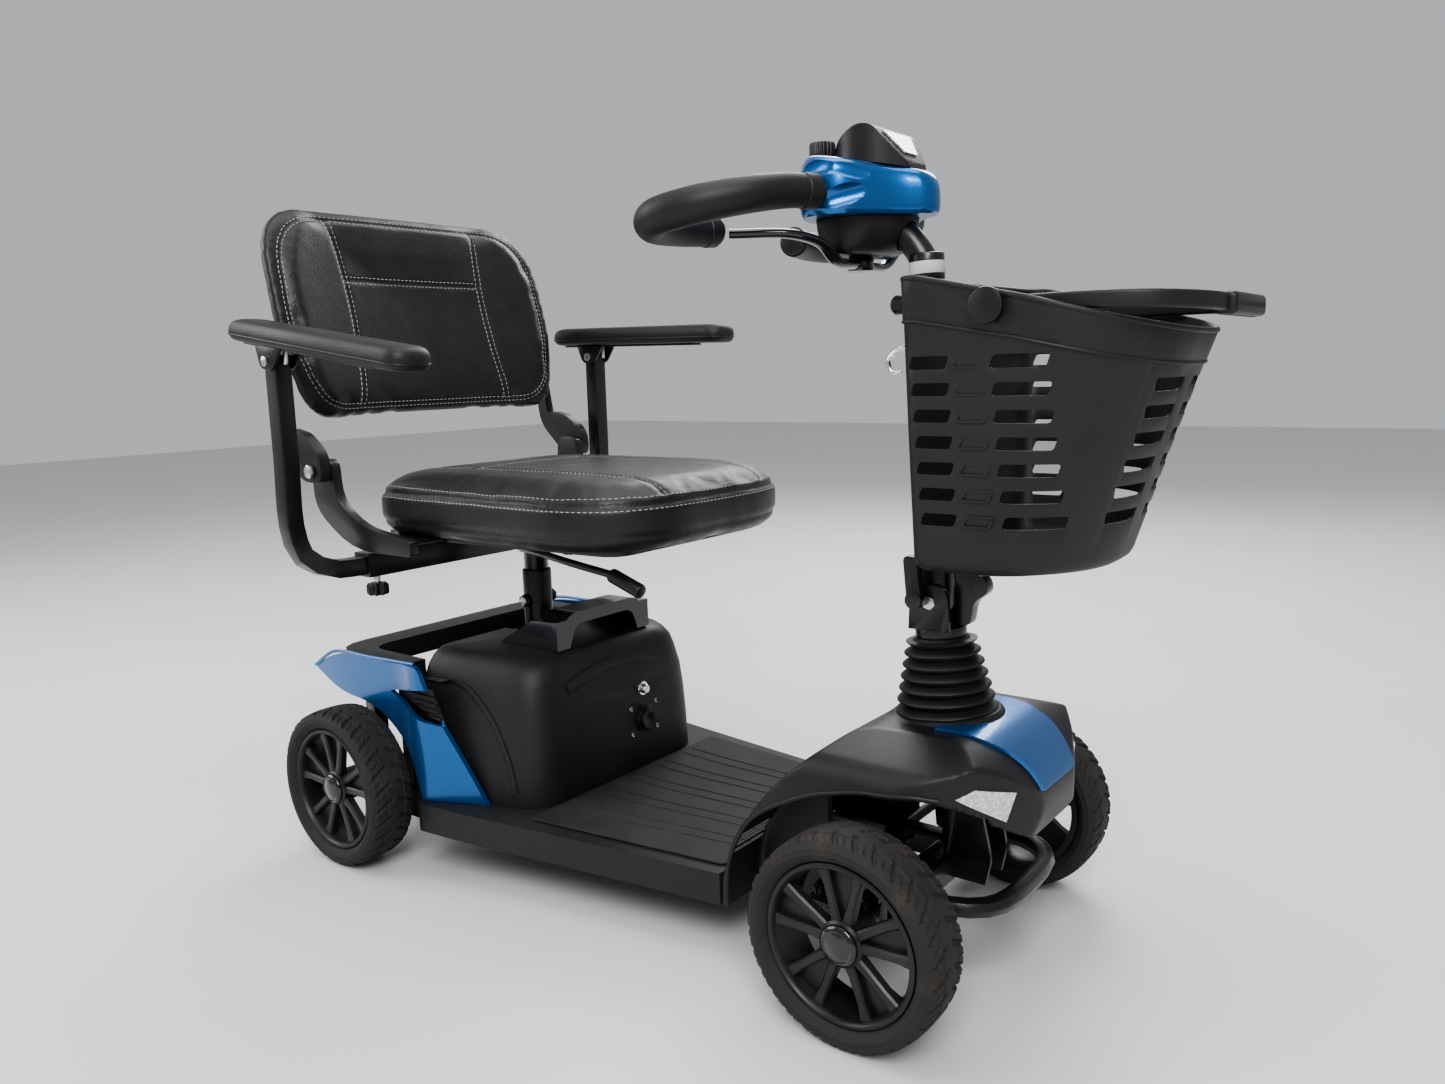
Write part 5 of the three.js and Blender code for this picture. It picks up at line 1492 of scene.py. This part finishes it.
for row in range(7):
    low = B_LOW + 44 + row * 22.5
    x0, x1 = 74 - row * 0.8, 100 - row * 0.6
    for s in (-1, 1):
        half = B_HALF - 22 * (1 - (low - B_LOW) / 255)
        edge_pts = outline([(x0, low, 3), (x1, low, 3), (x1 + 4, low + 11, 3), (x0 + 4, low + 11, 3)], 4)
        frame_in = outline(
            [(x0 + 2, low + 2, 2), (x1 - 2, low + 2, 2), (x1 + 2, low + 9, 2), (x0 + 6, low + 9, 2)], 4
        )
        raised = prism("r", edge_pts, "y", s * (half - 1), s * (half + 1.5), COARSE)
        blind.append(boolean(raised, [prism("ri", frame_in, "y", s * (half - 3), s * (half + 4), COARSE)]))
rib = [Vector(p) for p in basket_ring(0.86, -0.6)]
line = even(rib, 160, closed=True)
blind.append(
    sweep(
        "band", [tuple(p) for p in line + [line[0]]], circle(1.5, 8), COARSE, 160, (0, 0, 1),
        smooth_path=False
    )
)
lip = even([Vector(p) for p in basket_ring(1, 0.6)], 200, closed=True)
blind.append(
    sweep(
        "lip", [tuple(p) for p in lip + [lip[0]]], circle(2.6, 12), COARSE, 200, (0, 0, 1), smooth_path=False
    )
)
hanger = box("hang", 6, 22, -28, 28, 652.4, 660, COARSE)
hanger2 = box("hang2", 6, 11, -28, 28, 640, 653, COARSE)
bevel(hanger, 1)
bevel(hanger2, 1)
place(joined("basket_body", [basket, hanger, hanger2, *blind]), "basket")

BI = B_HALF - 2.6 - 16
path = [(97, -BI, 654), (163, -BI, 655), (221, -BI + 12, 654), (253, -BI + 52, 652), (260, 0, 650)]
path += [(x, -y, z) for x, y, z in path[:-1][::-1]]
section = outline([(-7, -4.5, 3), (7, -4.5, 3), (7, 4.5, 3), (-7, 4.5, 3)], 4)
bail = sweep("bail", path, section, MOULDED, 130, (0, 0, 1))
parts = [bail]
for s in (-1, 1):
    parts.append(rod("bp", (103, s * (BI - 4), 654), (103, s * 148, 654), 8, MOULDED, 32))
    parts.append(rod("bd", (103, s * 147, 654), (103, s * 152, 654), 15, MOULDED, 48, 1.4))
grip = box("bg", 251, 269, -52, 52, 641, 659, MOULDED)
bevel(grip, 4.5, 5)
parts.append(grip)
for k in range(-7, 8):
    parts.append(rod("br", (260, k * 6.4 - 1, 650), (260, k * 6.4 + 1, 650), 9.6, MOULDED, 24, 0.6))
place(joined("basket_bail", parts), "basket_handle")

# ---------------------------------------------------------------- armrests, brackets, small steel
ARM_X, ARM_Y, ARM_Z, ARM_LENGTH = -732.0, 268.0, 632.0, 330.0
DROOP = {"right": 8, "left": 1}
for side, s in SIDES:
    keep(f"back_bracket_{side}", 2.6, 3)
    keep(f"armrest_post_{side}", 1.6, 3)
    y = s * ARM_Y
    px, pz = ARM_X, ARM_Z
    roof = pz + 15
    rear, nosex = px - 68, px - 68 + ARM_LENGTH

    def pad_ring(up, inset):
        plan = outline(
            [
                (rear + inset, -28 + inset, 16), (nosex - inset, -28 + inset, 27),
                (nosex - inset, 28 - inset, 27), (rear + inset, 28 - inset, 16)
            ],
            12,
        )
        return [(p[0], p[1], roof + 3 + up) for p in plan]

    stack = [
        (0, 8), (1, 5), (3, 2.2), (7, 0.5), (12, 0), (17, 0.7), (21, 2.6), (23.8, 5.6), (25.4, 9.6), (26, 14)
    ]
    pad = loft("pad", [pad_ring(u, i) for u, i in stack], COARSE)
    seam = even([Vector(p) for p in pad_ring(8, 0.1)], 160, closed=True)
    welt = sweep(
        "welt", [tuple(p) for p in seam + [seam[0]]], circle(1.1, 8), MOULDED, 160, (0, 0, 1),
        smooth_path=False
    )
    spine = box("spine", rear + 16, nosex - 60, -13, 13, roof, roof + 2.8, STEEL)
    bevel(spine, 1)
    cheek = outline(
        [(px - 12, pz - 10, 9), (px + 12, pz - 10, 9), (px + 30, roof + 2), (px - 24, roof + 2)], 8
    )
    cheeks = [bevel(prism("ck", cheek, "y", k * 12, k * 15, STEEL), 0.7) for k in (-1, 1)]
    bolt = rod("bolt", (px, -17, pz), (px, 17, pz), 4, ZINC, 24)
    heads = [rod("hd", (px, k * 15, pz), (px, k * 18.4, pz), 6.6, ZINC, 6, 0.8) for k in (-1, 1)]
    screw = rod("sc", (px + 17, 0, pz - 2), (px + 17, 0, roof + 2), 3, ZINC, 16)
    padding = joined(f"arm_pad_{side}", [pad, welt])
    hinge = joined(f"arm_hinge_{side}", [spine, *cheeks, bolt, *heads, screw])
    droop = math.radians(DROOP[side])
    pivot = at(px, 0, pz)
    turn = Matrix.Translation(at(px, y, pz)) @ Matrix.Rotation(droop, 4, "Y") @ Matrix.Translation(-pivot)
    for piece in (padding, hinge):
        piece.data.transform(turn)
    place(padding, f"armrest_{side}")
    place(hinge, body=f"armrest_{side}", slot="painted_steel")
    lobes = []
    for h, k in ((0, 0.86), (2, 1), (12, 1), (15, 0.86)):
        lobes.append(
            [
                (
                    -708 + (12.2 + 1.8 * math.cos(8 * a)) * k * math.cos(a),
                    s * 172 + (12.2 + 1.8 * math.cos(8 * a)) * k * math.sin(a), 336.7 + h
                )
                for a in [2 * math.pi * i / 96 for i in range(96)]
            ]
        )
    star = loft("star", lobes, MOULDED)
    stud = rod("stud", (-708, s * 172, 350), (-708, s * 172, 362.6), 4.5, ZINC, 24)
    place(joined(f"knob_{side}", [star, stud]), f"clamp_knob_{side}")
    pin = rod(f"hinge_bolt_{side}", (-738, s * 233.6, 498), (-738, s * 238, 498), 9, ZINC, 6, 1)
    place(pin, body="seat", slot="zinc")
lever = sweep(
    "lever_rod", [(-568, -57, 392), (-500, -80, 392), (-432, -100, 390), (-368, -100, 382)], circle(4.5, 24),
    STEEL, 60, (0, 0, 1)
)
end = rod("lever_grip", (-368, -100, 382), (-322, -100, 366), 8.5, MOULDED, 32, 3)
pivot_pin = rod("lever_pin", (-560, -60, 392), (-560, -50.4, 392), 6, STEEL, 24)
place(joined("lever_assembly", [lever, end, pivot_pin]), "seat_lever")
bolt = rod("post_bolt", (-599, -26, 312), (-599, -27.7, 312), 6.5, ZINC, 6, 0.5)
place(bolt, body="chassis", slot="zinc")
